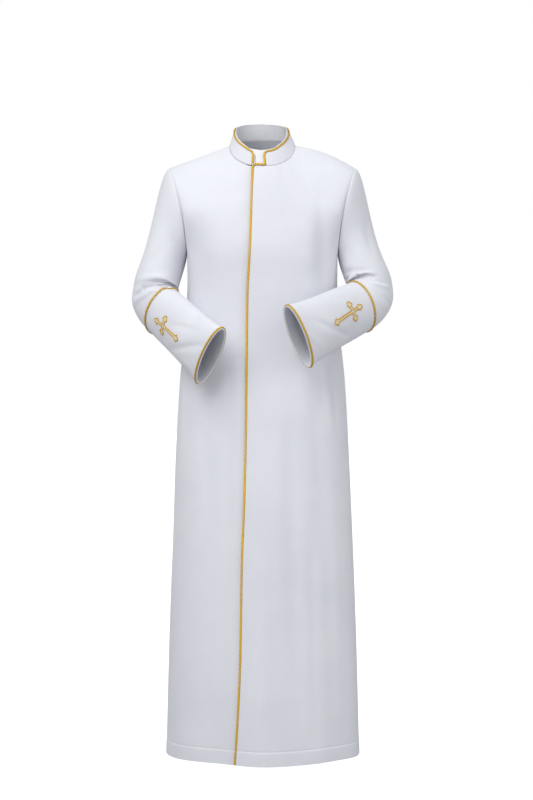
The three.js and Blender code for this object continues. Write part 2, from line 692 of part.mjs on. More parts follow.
// From the armhole's edge, over the sleeve head, down to the first level ring.
function sleeveHeadPoint(arm, path, armholeAngle, share) {
  const edge = armholePoint(armholeAngle);
  edge.x *= arm.side;
  const rise = (1 + Math.cos(armholeAngle * DEGREE)) / 2;
  const leaving = vector(
    arm.side * mix(SLEEVE_HEAD.underarm.sideways, SLEEVE_HEAD.shoulder.sideways, rise),
    -SLEEVE_HEAD.forward * Math.sin(armholeAngle * DEGREE),
    -mix(SLEEVE_HEAD.underarm.down, SLEEVE_HEAD.shoulder.down, rise),
  ).normalize();
  edge.addScaledVector(leaving, SEAM_GAP);
  const ringPoint = sleevePoint(path, 0, SLEEVE_START - armholeAngle);
  const reach = edge.distanceTo(ringPoint);
  const curve = new THREE.CubicBezierCurve3(
    edge,
    edge.clone().addScaledVector(leaving, SLEEVE_HEAD.armholeHold * reach),
    ringPoint.clone().addScaledVector(path.at(0).tangent, -SLEEVE_HEAD.ringHold * reach),
    ringPoint,
  );
  return curve.getPoint(share);
}

const sleeveColumns = 2 * CHEST_ROWS;
const armholeAngleOf = (column) => (360 * column) / sleeveColumns;

function addSleeve(arm) {
  const path = armPath(arm);
  const columns = Array.from({ length: sleeveColumns }, (_, j) => armholeAngleOf(j));
  const head = Array.from({ length: ARMHOLE_RINGS }, (_, i) => i / ARMHOLE_RINGS);
  const seamShare = PIPED_SEAM - SEAM_GAP / 2 / path.length;
  const grid = [
    ...head.map((share) =>
      columns.map((angle) => sleeveHeadPoint(arm, path, angle, share ** SLEEVE_HEAD.crowding)),
    ),
    ...[0, ...SLEEVE_SHARES, seamShare].map((share) =>
      columns.map((angle) => sleevePoint(path, share, SLEEVE_START - angle)),
    ),
  ];
  const inward = inwardDirections(grid, true);
  inward[0] = columns.map((angle) => armholeInward(angle, arm.side));
  inward[grid.length - 1] = columns.map((angle) => ringInward(path, PIPED_SEAM, SLEEVE_START - angle));
  addPiece(`sleeve_${arm.name}`, wall(grid, inward, CLOTH, true), WHITE_CLOTH);
}

function addCuff(arm) {
  const path = armPath(arm);
  const seamShare = PIPED_SEAM + SEAM_GAP / 2 / path.length;
  const arounds = Array.from({ length: sleeveColumns }, (_, j) => SLEEVE_START - armholeAngleOf(j));
  const grid = [seamShare, ...CUFF_SHARES, 1].map((share) =>
    arounds.map((around) => sleevePoint(path, share, around)),
  );
  const inward = inwardDirections(grid, true);
  inward[0] = arounds.map((around) => ringInward(path, PIPED_SEAM, around));
  addPiece(`cuff_${arm.name}`, wall(grid, inward, CLOTH, true), WHITE_CLOTH);
}

// A ring of piping round the sleeve, on top of the cloth.
function addSleevePiping(arm, share, name) {
  const path = armPath(arm);
  const { tangent } = path.at(share);
  const points = Array.from({ length: sleeveColumns }, (_, j) => {
    const around = SLEEVE_START - armholeAngleOf(j);
    const centre = raisedSleevePoint(path, share, around, PIPING.clearance + PIPING.halfHeight);
    return { centre, across: tangent, out: ringInward(path, share, around).negate() };
  });
  const geometry = cord(points, PIPING.halfWidth, PIPING.halfHeight, PIPING.sides, true);
  addPiece(`piping_${name}_${arm.name}`, geometry, GOLD_CORD);
}

// ---------------------------------------------------------------- embroidered crosses

// One end of a cross: a straight side, a bud, a pointed tip and the same again, pointing along +u.
function crossEnd(reach) {
  const inner = { u: CROSS.halfWidth + CROSS.crotch, v: CROSS.halfWidth };
  const side = [inner, ...CROSS_END.map(({ back, out }) => ({ u: reach - back, v: out }))];
  const mirrored = side.map(({ u, v }) => ({ u, v: -v }));
  return [...mirrored, { u: reach, v: 0 }, ...side.reverse()];
}

// The cross's outline in flat millimetres: u towards the cuff, v round the sleeve.
function crossOutline() {
  const { foot, arm, head } = CROSS;
  const turned = (points, quarter) =>
    points.map(({ u, v }) => {
      const [cosine, sine] = [[1, 0], [0, 1], [-1, 0], [0, -1]][quarter];
      return { u: u * cosine - v * sine, v: u * sine + v * cosine };
    });
  return [foot, arm, head, arm].flatMap((reach, quarter) => turned(crossEnd(reach), quarter));
}

function addCross(arm) {
  const path = armPath(arm);
  const middleShare = PIPED_SEAM + CROSS.centre / path.length;
  const step = 1;
  const oneDegree = sleevePoint(path, middleShare, arm.crossAround + step).distanceTo(
    sleevePoint(path, middleShare, arm.crossAround),
  );
  const lift = PIPING.clearance + CROSS.height / 2;
  const tilt = THREE.MathUtils.degToRad(arm.crossTilt);
  const place = ({ u, v }, raised) => {
    const along = u * Math.cos(tilt) - v * Math.sin(tilt);
    const round = u * Math.sin(tilt) + v * Math.cos(tilt);
    const around = arm.crossAround + round / oneDegree;
    return raisedSleevePoint(path, middleShare + along / path.length, around, raised);
  };
  const outline = crossOutline();
  const points = outline.map((spot, i) => {
    const next = outline[(i + 1) % outline.length];
    const before = outline[(i + outline.length - 1) % outline.length];
    const along = place(next, lift).sub(place(before, lift)).normalize();
    const centre = place(spot, lift);
    const across = centre.clone().sub(place(spot, 0)).cross(along).normalize();
    return { centre, across, out: along.clone().cross(across).normalize() };
  });
  addPiece(`cross_${arm.name}`, cord(points, CROSS.strand, CROSS.height / 2, 4, true), GOLD_CORD);
}

// ---------------------------------------------------------------- collar

// A point of the collar's outside. `height` is 0 at the neckline and 1 at the top edge.
function collarPoint(angle, height) {
  const away = Math.abs(turnBetween(angle, 0));
  const base = necklinePoint(angle);
  base.z += COLLAR.lift;
  const top = vector(
    COLLAR.centre + COLLAR.halfWidth * Math.sin(angle * DEGREE),
    COLLAR.y - COLLAR.halfDepth * Math.cos(angle * DEGREE),
    readTable(COLLAR_TOP, "angle", away, "z"),
  );
  return base.lerp(top, height);
}

const collarHeight = (angle) => collarPoint(angle, 0).distanceTo(collarPoint(angle, 1));
const collarAngleAtX = (x) => Math.asin((x - NECK.centre) / NECK.halfWidth) / DEGREE;

// The top edge drops in a round corner near each front end, given the distance from that end.
function cornerDrop(distance) {
  const inside = Math.max(COLLAR.corner - distance, 0);
  return COLLAR.corner - Math.sqrt(Math.max(COLLAR.corner ** 2 - inside ** 2, 0));
}

// Angles round the collar from its left front end, past the back, to its right front end.
function collarAngles() {
  const start = collarAngleAtX(COLLAR_ENDS.left);
  const end = 360 + collarAngleAtX(COLLAR_ENDS.right);
  const nearEnds = [0, 0.008, 0.018, 0.035];
  const middle = Array.from({ length: COLLAR_COLUMNS - 7 }, (_, i) =>
    mix(0.035, 0.965, (i + 1) / (COLLAR_COLUMNS - 6)),
  );
  const shares = [...nearEnds, ...middle, ...nearEnds.map((share) => 1 - share).reverse()];
  return shares.map((share) => ({
    angle: mix(start, end, share),
    fromEnd: Math.min(share, 1 - share) * (end - start) * DEGREE * NECK.halfDepth,
  }));
}

// The share of the collar's height that is cloth at one of its columns.
const topShare = ({ angle, fromEnd }) => 1 - cornerDrop(fromEnd) / collarHeight(angle);

function addCollar() {
  const columns = collarAngles();
  const grid = [0, 0.5, 1].map((share) =>
    columns.map((column) => collarPoint(column.angle, share * topShare(column))),
  );
  const inward = inwardDirections(grid, false);
  addPiece("collar", wall(grid, inward, CLOTH, false), WHITE_CLOTH);
}

// The insert stands inside the collar, all the way round, and shows above it and in the front gap.
function addInsert() {
  const inset = CLOTH + INSERT.clearance;
  const angles = Array.from({ length: INSERT_COLUMNS }, (_, j) => (360 * j) / INSERT_COLUMNS);
  const shares = [
    (height) => INSERT.lift / height,
    () => 0.55,
    (height) => 1 + INSERT.above / height,
  ];
  const grid = shares.map((shareOf) =>
    angles.map((angle) => collarPoint(angle, shareOf(collarHeight(angle)))),
  );
  const inward = inwardDirections(grid, true);
  grid.forEach((row, i) => row.forEach((point, j) => point.addScaledVector(inward[i][j], inset)));
  addPiece("collar_insert", wall(grid, inward, INSERT.thickness, true), WHITE_INSERT);
}

// ---------------------------------------------------------------- piping of the front and collar

// Gives a list of cord centres their directions, from the surface's outward direction at each.
function cordPath(points) {
  return points.map(({ centre, out }, i) => {
    const next = points[Math.min(i + 1, points.length - 1)].centre;
    const before = points[Math.max(i - 1, 0)].centre;
    const along = next.clone().sub(before).normalize();
    const across = along.cross(out).normalize();
    return { centre, across, out };
  });
}

// The piping on one half of the collar: up its front end, round the corner and along the top edge.
function collarPipingPoints(isLeft) {
  const reach = PIPING.clearance + PIPING.halfWidth + EDGE_PIPING.collarReach;
  const end = collarAngleAtX(isLeft ? COLLAR_ENDS.left : COLLAR_ENDS.right);
  const towardsGap = isLeft ? -1 : 1;
  const outAt = (angle) => vector(Math.sin(angle * DEGREE), -Math.cos(angle * DEGREE), 0.1).normalize();
  const perDegree = NECK.halfDepth * DEGREE;
  const place = (distance, height) => {
    const angle = end - (towardsGap * distance) / perDegree;
    const share = height / collarHeight(angle);
    const centre = collarPoint(angle, share).addScaledVector(outAt(angle), EDGE_PIPING.collarOut);
    return { centre, out: outAt(angle) };
  };
  const fullHeight = (distance) => collarHeight(end - (towardsGap * distance) / perDegree);
  const cornerHeight = fullHeight(COLLAR.corner) - COLLAR.corner;
  const clearOfLap = isLeft ? EDGE_PIPING.leftStart : EDGE_PIPING.rightStart; // above the lap's corner
  const upright = [clearOfLap, 0.55, 0.8].map((share) => place(-reach, share * cornerHeight));
  const corner = [0, 22.5, 45, 67.5, 90].map((turn) => {
    const radius = COLLAR.corner + reach;
    const distance = COLLAR.corner - radius * Math.cos(turn * DEGREE);
    return place(distance, cornerHeight + radius * Math.sin(turn * DEGREE));
  });
  const halfRound = 180 * perDegree + towardsGap * end * perDegree - 0.6;
  const steps = 20;
  const topEdge = Array.from({ length: steps }, (_, i) => {
    const distance = mix(COLLAR.corner, halfRound, (i + 1) / steps);
    return place(distance, fullHeight(distance) + reach);
  });
  return [...upright, ...corner, ...topEdge];
}

// Along the lap edge from the hem to the neckline, round its corner, to the collar's left end.
function lapPipingPoints() {
  const reach = PIPING.clearance + PIPING.halfWidth;
  const corner = LAP_CORNER;
  const levels = [HEM_LEVEL + 1, ...SKIRT_LEVELS.filter((level) => level < -300)];
  const chestLevels = [-272, -240, -205, -170, -140, -110, -80, -55, -38];
  const front = [...levels, ...chestLevels].map((level) => {
    const angle = angleAtX(lapEdgeX(level) - reach, level);
    return { centre: bodyPoint(angle, level), level };
  });
  const neckEnd = collarAngleAtX(COLLAR_ENDS.left);
  const start = collarAngleAtX(lapEdgeX(0) - reach);
  const above = (angle, drop) => {
    const centre = necklinePoint(angle);
    centre.z += reach + EDGE_PIPING.neckLift - drop;
    return { centre };
  };
  const perDegree = NECK.halfWidth * DEGREE;
  const bend = [20, 45, 70, 90].map((turn) => {
    const inside = (corner * (1 - Math.cos(turn * DEGREE))) / perDegree;
    return above(start + inside, corner * (1 - Math.sin(turn * DEGREE)));
  });
  const straight = [0.5, 1].map((share) =>
    above(mix(start + corner / perDegree, neckEnd - (reach + EDGE_PIPING.collarGap) / perDegree, share), 0),
  );
  return [...front, ...bend, ...straight].map(({ centre }) => {
    const out = vector(centre.x * 0.002, -1, centre.z > -230 ? 0.3 : 0).normalize();
    return { centre: centre.addScaledVector(out, EDGE_PIPING.lapOut), out };
  });
}

function addFrontPiping() {
  const { halfWidth, halfHeight, sides } = PIPING;
  const left = cordPath([...lapPipingPoints(), ...collarPipingPoints(true)]);
  addPiece("piping_front", cord(left, halfWidth, halfHeight, sides, false), GOLD_CORD);
  const right = cordPath(collarPipingPoints(false));
  addPiece("piping_collar_right", cord(right, halfWidth, halfHeight, sides, false), GOLD_CORD);
}

addBodyPanels();
for (const arm of ARMS) {
  addSleeve(arm);
  addCuff(arm);
  addSleevePiping(arm, PIPED_SEAM, "sleeve");
  addSleevePiping(arm, 1 - PIPING.fromCuffEdge / armPath(arm).length, "cuff");
  addCross(arm);
}
addCollar();
addInsert();
addFrontPiping();

export default root;
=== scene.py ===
"""Looks of a full-length white clergy cassock in its worn shape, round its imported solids.

The tables hold the garment's own sizes in millimetres, as its maker would note them. The wearer
faces -Y and the wearer's left is +X. Every cloth piece is a thin closed wall on a grid of two
parameters, and every cord is a twisted profile carried along a path. Meshes are written in metres.
"""

import logging
import math
from dataclasses import dataclass, field
from enum import Enum

import bpy
import numpy as np
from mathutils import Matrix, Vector


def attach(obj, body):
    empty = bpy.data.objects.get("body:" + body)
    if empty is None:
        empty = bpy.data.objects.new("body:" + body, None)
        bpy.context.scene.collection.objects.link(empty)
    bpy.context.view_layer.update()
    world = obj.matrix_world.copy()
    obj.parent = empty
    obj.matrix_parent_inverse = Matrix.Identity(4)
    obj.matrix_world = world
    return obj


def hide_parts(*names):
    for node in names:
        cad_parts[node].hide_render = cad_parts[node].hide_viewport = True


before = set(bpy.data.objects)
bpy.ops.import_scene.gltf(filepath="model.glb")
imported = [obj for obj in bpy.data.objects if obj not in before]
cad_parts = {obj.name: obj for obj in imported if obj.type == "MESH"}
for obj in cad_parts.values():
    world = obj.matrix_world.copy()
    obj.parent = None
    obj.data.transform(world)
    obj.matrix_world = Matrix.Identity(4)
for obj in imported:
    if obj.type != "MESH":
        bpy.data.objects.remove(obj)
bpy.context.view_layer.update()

LOG = logging.getLogger("cassock")
METRE = 0.001

HEM_LEVEL = -1485.0
HEM_DEPTH = 34.0
UNDERARM_LEVEL = -272.0
CLOTH = 1.8
SEAM_GAP = 0.3
SHARP_ANGLE = 55.0
PATH_STEP = 1.5
PATH_PASSES = 3


# ---------------------------------------------------------------- small sums


def mix(low: np.ndarray, high: np.ndarray, share: np.ndarray) -> np.ndarray:
    """Straight mix: low at share 0, high at share 1."""
    return low + (high - low) * share


def smoothstep(value: np.ndarray, low: float, high: float) -> np.ndarray:
    """0 below low, 1 above high, 3t^2 - 2t^3 between."""
    t = np.clip((value - low) / (high - low), 0.0, 1.0)
    return t * t * (3.0 - 2.0 * t)


def bell(offset: np.ndarray, width: float) -> np.ndarray:
    """Bell curve exp(-(offset / width)^2)."""
    return np.exp(-((offset / width) ** 2))


def turn_between(a: np.ndarray, b: float) -> np.ndarray:
    """Signed turn from b to a, in degrees from -180 to 180."""
    return (np.asarray(a) - b + 180.0) % 360.0 - 180.0


def round_power(value: np.ndarray, power: np.ndarray) -> np.ndarray:
    """|value|^power with the sign of value."""
    return np.sign(value) * np.abs(value) ** power


def unit(vectors: np.ndarray) -> np.ndarray:
    """Each vector divided by its length."""
    return vectors / np.maximum(np.linalg.norm(vectors, axis=-1, keepdims=True), 1e-9)


def stack(x: np.ndarray, y: np.ndarray, z: np.ndarray) -> np.ndarray:
    """One array of points from arrays of x, y and z that share a shape."""
    return np.stack(np.broadcast_arrays(x, y, z), axis=-1).astype(float)


def sine(degrees: np.ndarray) -> np.ndarray:
    """Sine of an angle in degrees."""
    return np.sin(np.radians(degrees))


def cosine(degrees: np.ndarray) -> np.ndarray:
    """Cosine of an angle in degrees."""
    return np.cos(np.radians(degrees))


def crowded(count: int, crowding: float) -> np.ndarray:
    """Shares 0 to 1 that stand closer near both ends: u - c sin(2 pi u) / (2 pi)."""
    u = np.linspace(0.0, 1.0, count)
    return u - crowding * np.sin(2 * np.pi * u) / (2 * np.pi)


@dataclass(frozen=True)
class Table:
    """Rows of named sizes, the first column being the place of each row."""

    columns: tuple[str, ...]
    rows: tuple[tuple[float, ...], ...]

    def read(self, place: np.ndarray, column: str) -> np.ndarray:
        """Reads a column between rows on a cubic Hermite curve with central slopes.

        Args:
            place: where to read, in the unit of the first column.
            column: the name of the column.
        Returns:
            The value at each place, level beyond the first and last rows.
        """
        rows = np.array(sorted(self.rows))
        keys, values = rows[:, 0], rows[:, self.columns.index(column)]
        last = len(keys) - 1
        before, after = np.maximum(np.arange(last + 1) - 1, 0), np.minimum(np.arange(last + 1) + 1, last)
        slopes = (values[after] - values[before]) / (keys[after] - keys[before])
        at = np.clip(np.asarray(place, dtype=float), keys[0], keys[-1])
        i = np.clip(np.searchsorted(keys, at, side="right") - 1, 0, last - 1)
        span = keys[i + 1] - keys[i]
        t = (at - keys[i]) / span
        start = (1 + 2 * t) * (1 - t) ** 2 * values[i] + t * (1 - t) ** 2 * span * slopes[i]
        end = t * t * (3 - 2 * t) * values[i + 1] + t * t * (t - 1) * span * slopes[i + 1]
        return start + end


@dataclass(frozen=True)
class Creases:
    """Soft troughs and ridges drawn as straight strokes on a surface.

    Each row is (u0, v0, u1, v1, width, depth): a stroke from one place to another, its half width,
    and how far it stands out (above zero) or in (below zero).
    """

    rows: tuple[tuple[float, ...], ...]
    end_share: float = 0.35

    def depth(self, u: np.ndarray, v: np.ndarray) -> np.ndarray:
        """Sum over strokes of depth * bell(distance / width) * fade along the stroke.

        The fade runs from end_share at its ends, as sqrt(sin(pi t)), to 1 in its middle.

        Args:
            u: first coordinate of each point.
            v: second coordinate of each point.
        Returns:
            Outward depth at each point.
        """
        total = np.zeros(np.broadcast(u, v).shape)
        for u0, v0, u1, v1, width, depth in self.rows:
            away = v - v0
            du, dv = u1 - u0, v1 - v0
            length_squared = du * du + dv * dv
            t = np.clip(((u - u0) * du + away * dv) / length_squared, 0.0, 1.0)
            distance = np.hypot(u - u0 - t * du, away - t * dv)
            fade = mix(self.end_share, 1.0, np.sqrt(np.sin(np.pi * np.clip(t, 0.02, 0.98))))
            total = total + depth * bell(distance, width) * fade
        return total


# ---------------------------------------------------------------- meshes


def object_from(name: str, points: np.ndarray, faces: np.ndarray, loop_uvs: np.ndarray) -> bpy.types.Object:
    """Makes a mesh object that faces outward.

    Args:
        name: the object's name.
        points: n x 3 points in millimetres.
        faces: m x 4 point numbers.
        loop_uvs: m x 4 x 2 places on the cloth, in metres.
    Returns:
        The new object, at the origin.
    """
    a, b, c, d = (points[faces[:, k]] for k in range(4))
    volume = np.einsum("ij,ij->i", a, np.cross(b, c)).sum() + np.einsum("ij,ij->i", a, np.cross(c, d)).sum()
    if volume < 0:
        faces, loop_uvs = faces[:, ::-1], loop_uvs[:, ::-1]
    mesh = bpy.data.meshes.new(name)
    mesh.vertices.add(len(points))
    mesh.vertices.foreach_set("co", (points * METRE).astype(np.float32).ravel())
    mesh.loops.add(faces.size)
    mesh.loops.foreach_set("vertex_index", faces.astype(np.int32).ravel())
    mesh.polygons.add(len(faces))
    mesh.polygons.foreach_set("loop_start", np.arange(0, faces.size, 4, dtype=np.int32))
    mesh.uv_layers.new(name="cloth")
    mesh.update(calc_edges=True)
    mesh.validate()
    mesh.uv_layers["cloth"].data.foreach_set("uv", loop_uvs.astype(np.float32).ravel())
    mesh.polygons.foreach_set("use_smooth", np.ones(len(faces), dtype=bool))
    mesh.set_sharp_from_angle(angle=math.radians(SHARP_ANGLE))
    made = bpy.data.objects.new(name, mesh)
    bpy.context.scene.collection.objects.link(made)
    return made


def inward_directions(grid: np.ndarray, is_round: bool) -> np.ndarray:
    """Unit inward direction at each grid point: (up the column) x (along the row).

    Args:
        grid: rows x columns x 3 points.
        is_round: whether each row closes on itself.
    Returns:
        rows x columns x 3 directions. Those of a round grid point towards its middle.
    """
    if is_round:
        across = np.roll(grid, -1, axis=1) - np.roll(grid, 1, axis=1)
    else:
        across = np.gradient(grid, axis=1)
    inward = unit(np.cross(np.gradient(grid, axis=0), across))
    if is_round:
        middle = grid.mean(axis=1, keepdims=True)
        if np.einsum("ijk,ijk->", inward, middle - grid) < 0:
            inward = -inward
    return inward


def cloth_wall(
    name: str, outer: np.ndarray, inward: np.ndarray, thickness: float | np.ndarray, is_round: bool
) -> bpy.types.Object:
    """A closed wall of cloth: the outer grid, the same grid moved inward, and rims round its edges.

    Args:
        name: the object's name.
        outer: rows x columns x 3 points of the outside.
        inward: the inward direction at each.
        thickness: of the cloth, one number or one for each row.
        is_round: whether each row closes on itself.
    Returns:
        The new object. Its UV is the distance along the rows and up the columns.
    """
    rows, columns = outer.shape[:2]
    count = rows * columns
    inner = outer + inward * np.reshape(thickness, (-1, 1, 1))
    points = np.concatenate([outer.reshape(-1, 3), inner.reshape(-1, 3)])
    closed = np.concatenate([outer, outer[:, :1]], axis=1) if is_round else outer
    along = np.zeros(closed.shape[:2])
    along[:, 1:] = np.cumsum(np.linalg.norm(np.diff(closed, axis=1), axis=2), axis=1)
    upward = np.zeros(closed.shape[:2])
    upward[1:] = np.cumsum(np.linalg.norm(np.diff(closed, axis=0), axis=2), axis=0)
    uv = np.stack([along, upward], axis=-1) * METRE
    quads = columns if is_round else columns - 1

    def number(i: np.ndarray, j: np.ndarray, layer: int) -> np.ndarray:
        """Number of a grid point in one of the two layers."""
        return layer * count + i * columns + j % columns

    faces, uvs = [], []

    def add(corners: list[tuple[np.ndarray, np.ndarray, int]]) -> None:
        """Adds one quad for each entry of the corners' index arrays."""
        faces.append(np.stack([number(i, j, layer) for i, j, layer in corners], axis=-1).reshape(-1, 4))
        uvs.append(np.stack([uv[i, j] for i, j, _ in corners], axis=-2).reshape(-1, 4, 2))

    i, j = np.meshgrid(np.arange(rows - 1), np.arange(quads), indexing="ij")
    add([(i, j, 0), (i, j + 1, 0), (i + 1, j + 1, 0), (i + 1, j, 0)])
    add([(i, j, 1), (i + 1, j, 1), (i + 1, j + 1, 1), (i, j + 1, 1)])
    j = np.arange(quads)
    low, high = np.zeros_like(j), np.full_like(j, rows - 1)
    add([(low, j, 0), (low, j, 1), (low, j + 1, 1), (low, j + 1, 0)])
    add([(high, j, 0), (high, j + 1, 0), (high, j + 1, 1), (high, j, 1)])
    if not is_round:
        i = np.arange(rows - 1)
        start, end = np.zeros_like(i), np.full_like(i, columns - 1)
        add([(i, start, 0), (i + 1, start, 0), (i + 1, start, 1), (i, start, 1)])
        add([(i, end, 0), (i, end, 1), (i + 1, end, 1), (i + 1, end, 0)])
    return object_from(name, points, np.concatenate(faces), np.concatenate(uvs))


@dataclass(frozen=True)
class CordProfile:
    """A twisted cord: lobes round an oval that turn along the cord."""

    half_width: float = 2.45
    half_height: float = 1.5
    lobes: int = 3
    lobe_share: float = 0.13
    pitch: float = 11.0
    step: float = 1.1
    sides: int = 15

    def along(self, name: str, path: np.ndarray, out: np.ndarray, is_loop: bool) -> bpy.types.Object:
        """Carries the profile along a path.

        The profile at turn a and distance s is an oval times
        1 + lobe_share * cos(lobes * a - 2 pi s / pitch).

        Args:
            name: the object's name.
            path: n x 3 points of the cord's middle.
            out: n x 3 directions away from the cloth.
            is_loop: whether the path closes on itself.
        Returns:
            The new object. Its UV is the distance along the cord and round it.
        """
        closed = np.concatenate([path, path[:1]]) if is_loop else path
        out = np.concatenate([out, out[:1]]) if is_loop else out
        lengths = np.concatenate([[0.0], np.cumsum(np.linalg.norm(np.diff(closed, axis=0), axis=1))])
        count = max(int(round(lengths[-1] / self.step)), 8)
        places = np.linspace(0.0, lengths[-1], count + 1)
        centre = np.stack([np.interp(places, lengths, closed[:, k]) for k in range(3)], axis=-1)
        outward = unit(np.stack([np.interp(places, lengths, out[:, k]) for k in range(3)], axis=-1))
        if is_loop:
            tangent = np.roll(centre[:-1], -1, axis=0) - np.roll(centre[:-1], 1, axis=0)
            tangent = np.concatenate([tangent, tangent[:1]])
        else:
            tangent = np.gradient(centre, axis=0)
        across = unit(np.cross(unit(tangent), outward))
        turns = np.linspace(0.0, 2 * np.pi, self.sides + 1)
        pitch = lengths[-1] / max(round(lengths[-1] / self.pitch), 1)
        twist = 2 * np.pi * places[:, None] / pitch
        swell = 1 + self.lobe_share * np.cos(self.lobes * turns[None, :] - twist)
        if not is_loop:
            ends = np.sqrt(np.clip(np.minimum(places, lengths[-1] - places) / self.half_height, 0.04, 1.0))
            swell = swell * ends[:, None]
        grid = (
            centre[:, None]
            + across[:, None] * (self.half_width * np.cos(turns) * swell)[..., None]
            + outward[:, None] * (self.half_height * np.sin(turns) * swell)[..., None]
        )
        return self._closed_tube(name, grid, places, is_loop)

    def _closed_tube(self, name: str, grid: np.ndarray, places: np.ndarray, is_loop: bool) -> bpy.types.Object:
        """Joins the rings of a cord, with a point at each end of an open one.

        Args:
            name: the object's name.
            grid: rings x (sides + 1) x 3 points, the last side repeating the first.
            places: distance of each ring along the cord.
            is_loop: whether the last ring is the first one again.
        Returns:
            The new object.
        """
        sides = self.sides
        rings = len(grid) - 1 if is_loop else len(grid)
        points = grid[:rings, :sides].reshape(-1, 3)
        girth = 2 * np.pi * (self.half_width + self.half_height) / 2
        i, k = np.meshgrid(np.arange(len(grid) - 1), np.arange(sides), indexing="ij")

        def number(ring: np.ndarray, side: np.ndarray) -> np.ndarray:
            """Number of a point of a ring."""
            return (ring % rings) * sides + side % sides

        corners = [(i, k), (i + 1, k), (i + 1, k + 1), (i, k + 1)]
        faces = np.stack([number(a, b) for a, b in corners], axis=-1).reshape(-1, 4)
        uvs = np.stack([np.stack([places[a], girth * b / sides], axis=-1) for a, b in corners], axis=-2)
        made = [faces]
        made_uvs = [uvs.reshape(-1, 4, 2) * METRE]
        if not is_loop:
            tips = len(points)
            points = np.concatenate([points, grid[:1, :sides].mean(axis=1), grid[-1:, :sides].mean(axis=1)])
            pair = np.arange(0, sides - 1, 2)
            for tip, ring in ((tips, 0), (tips + 1, rings - 1)):
                first, second, third = (ring * sides + (pair + n) % sides for n in range(3))
                cap = np.stack([np.full_like(pair, tip), third, second, first], axis=-1)
                if ring:
                    cap = cap[:, ::-1]
                made.append(cap)
                made_uvs.append(np.zeros((len(cap), 4, 2)))
        return object_from(name, points, np.concatenate(made), np.concatenate(made_uvs))


# ---------------------------------------------------------------- the body's form


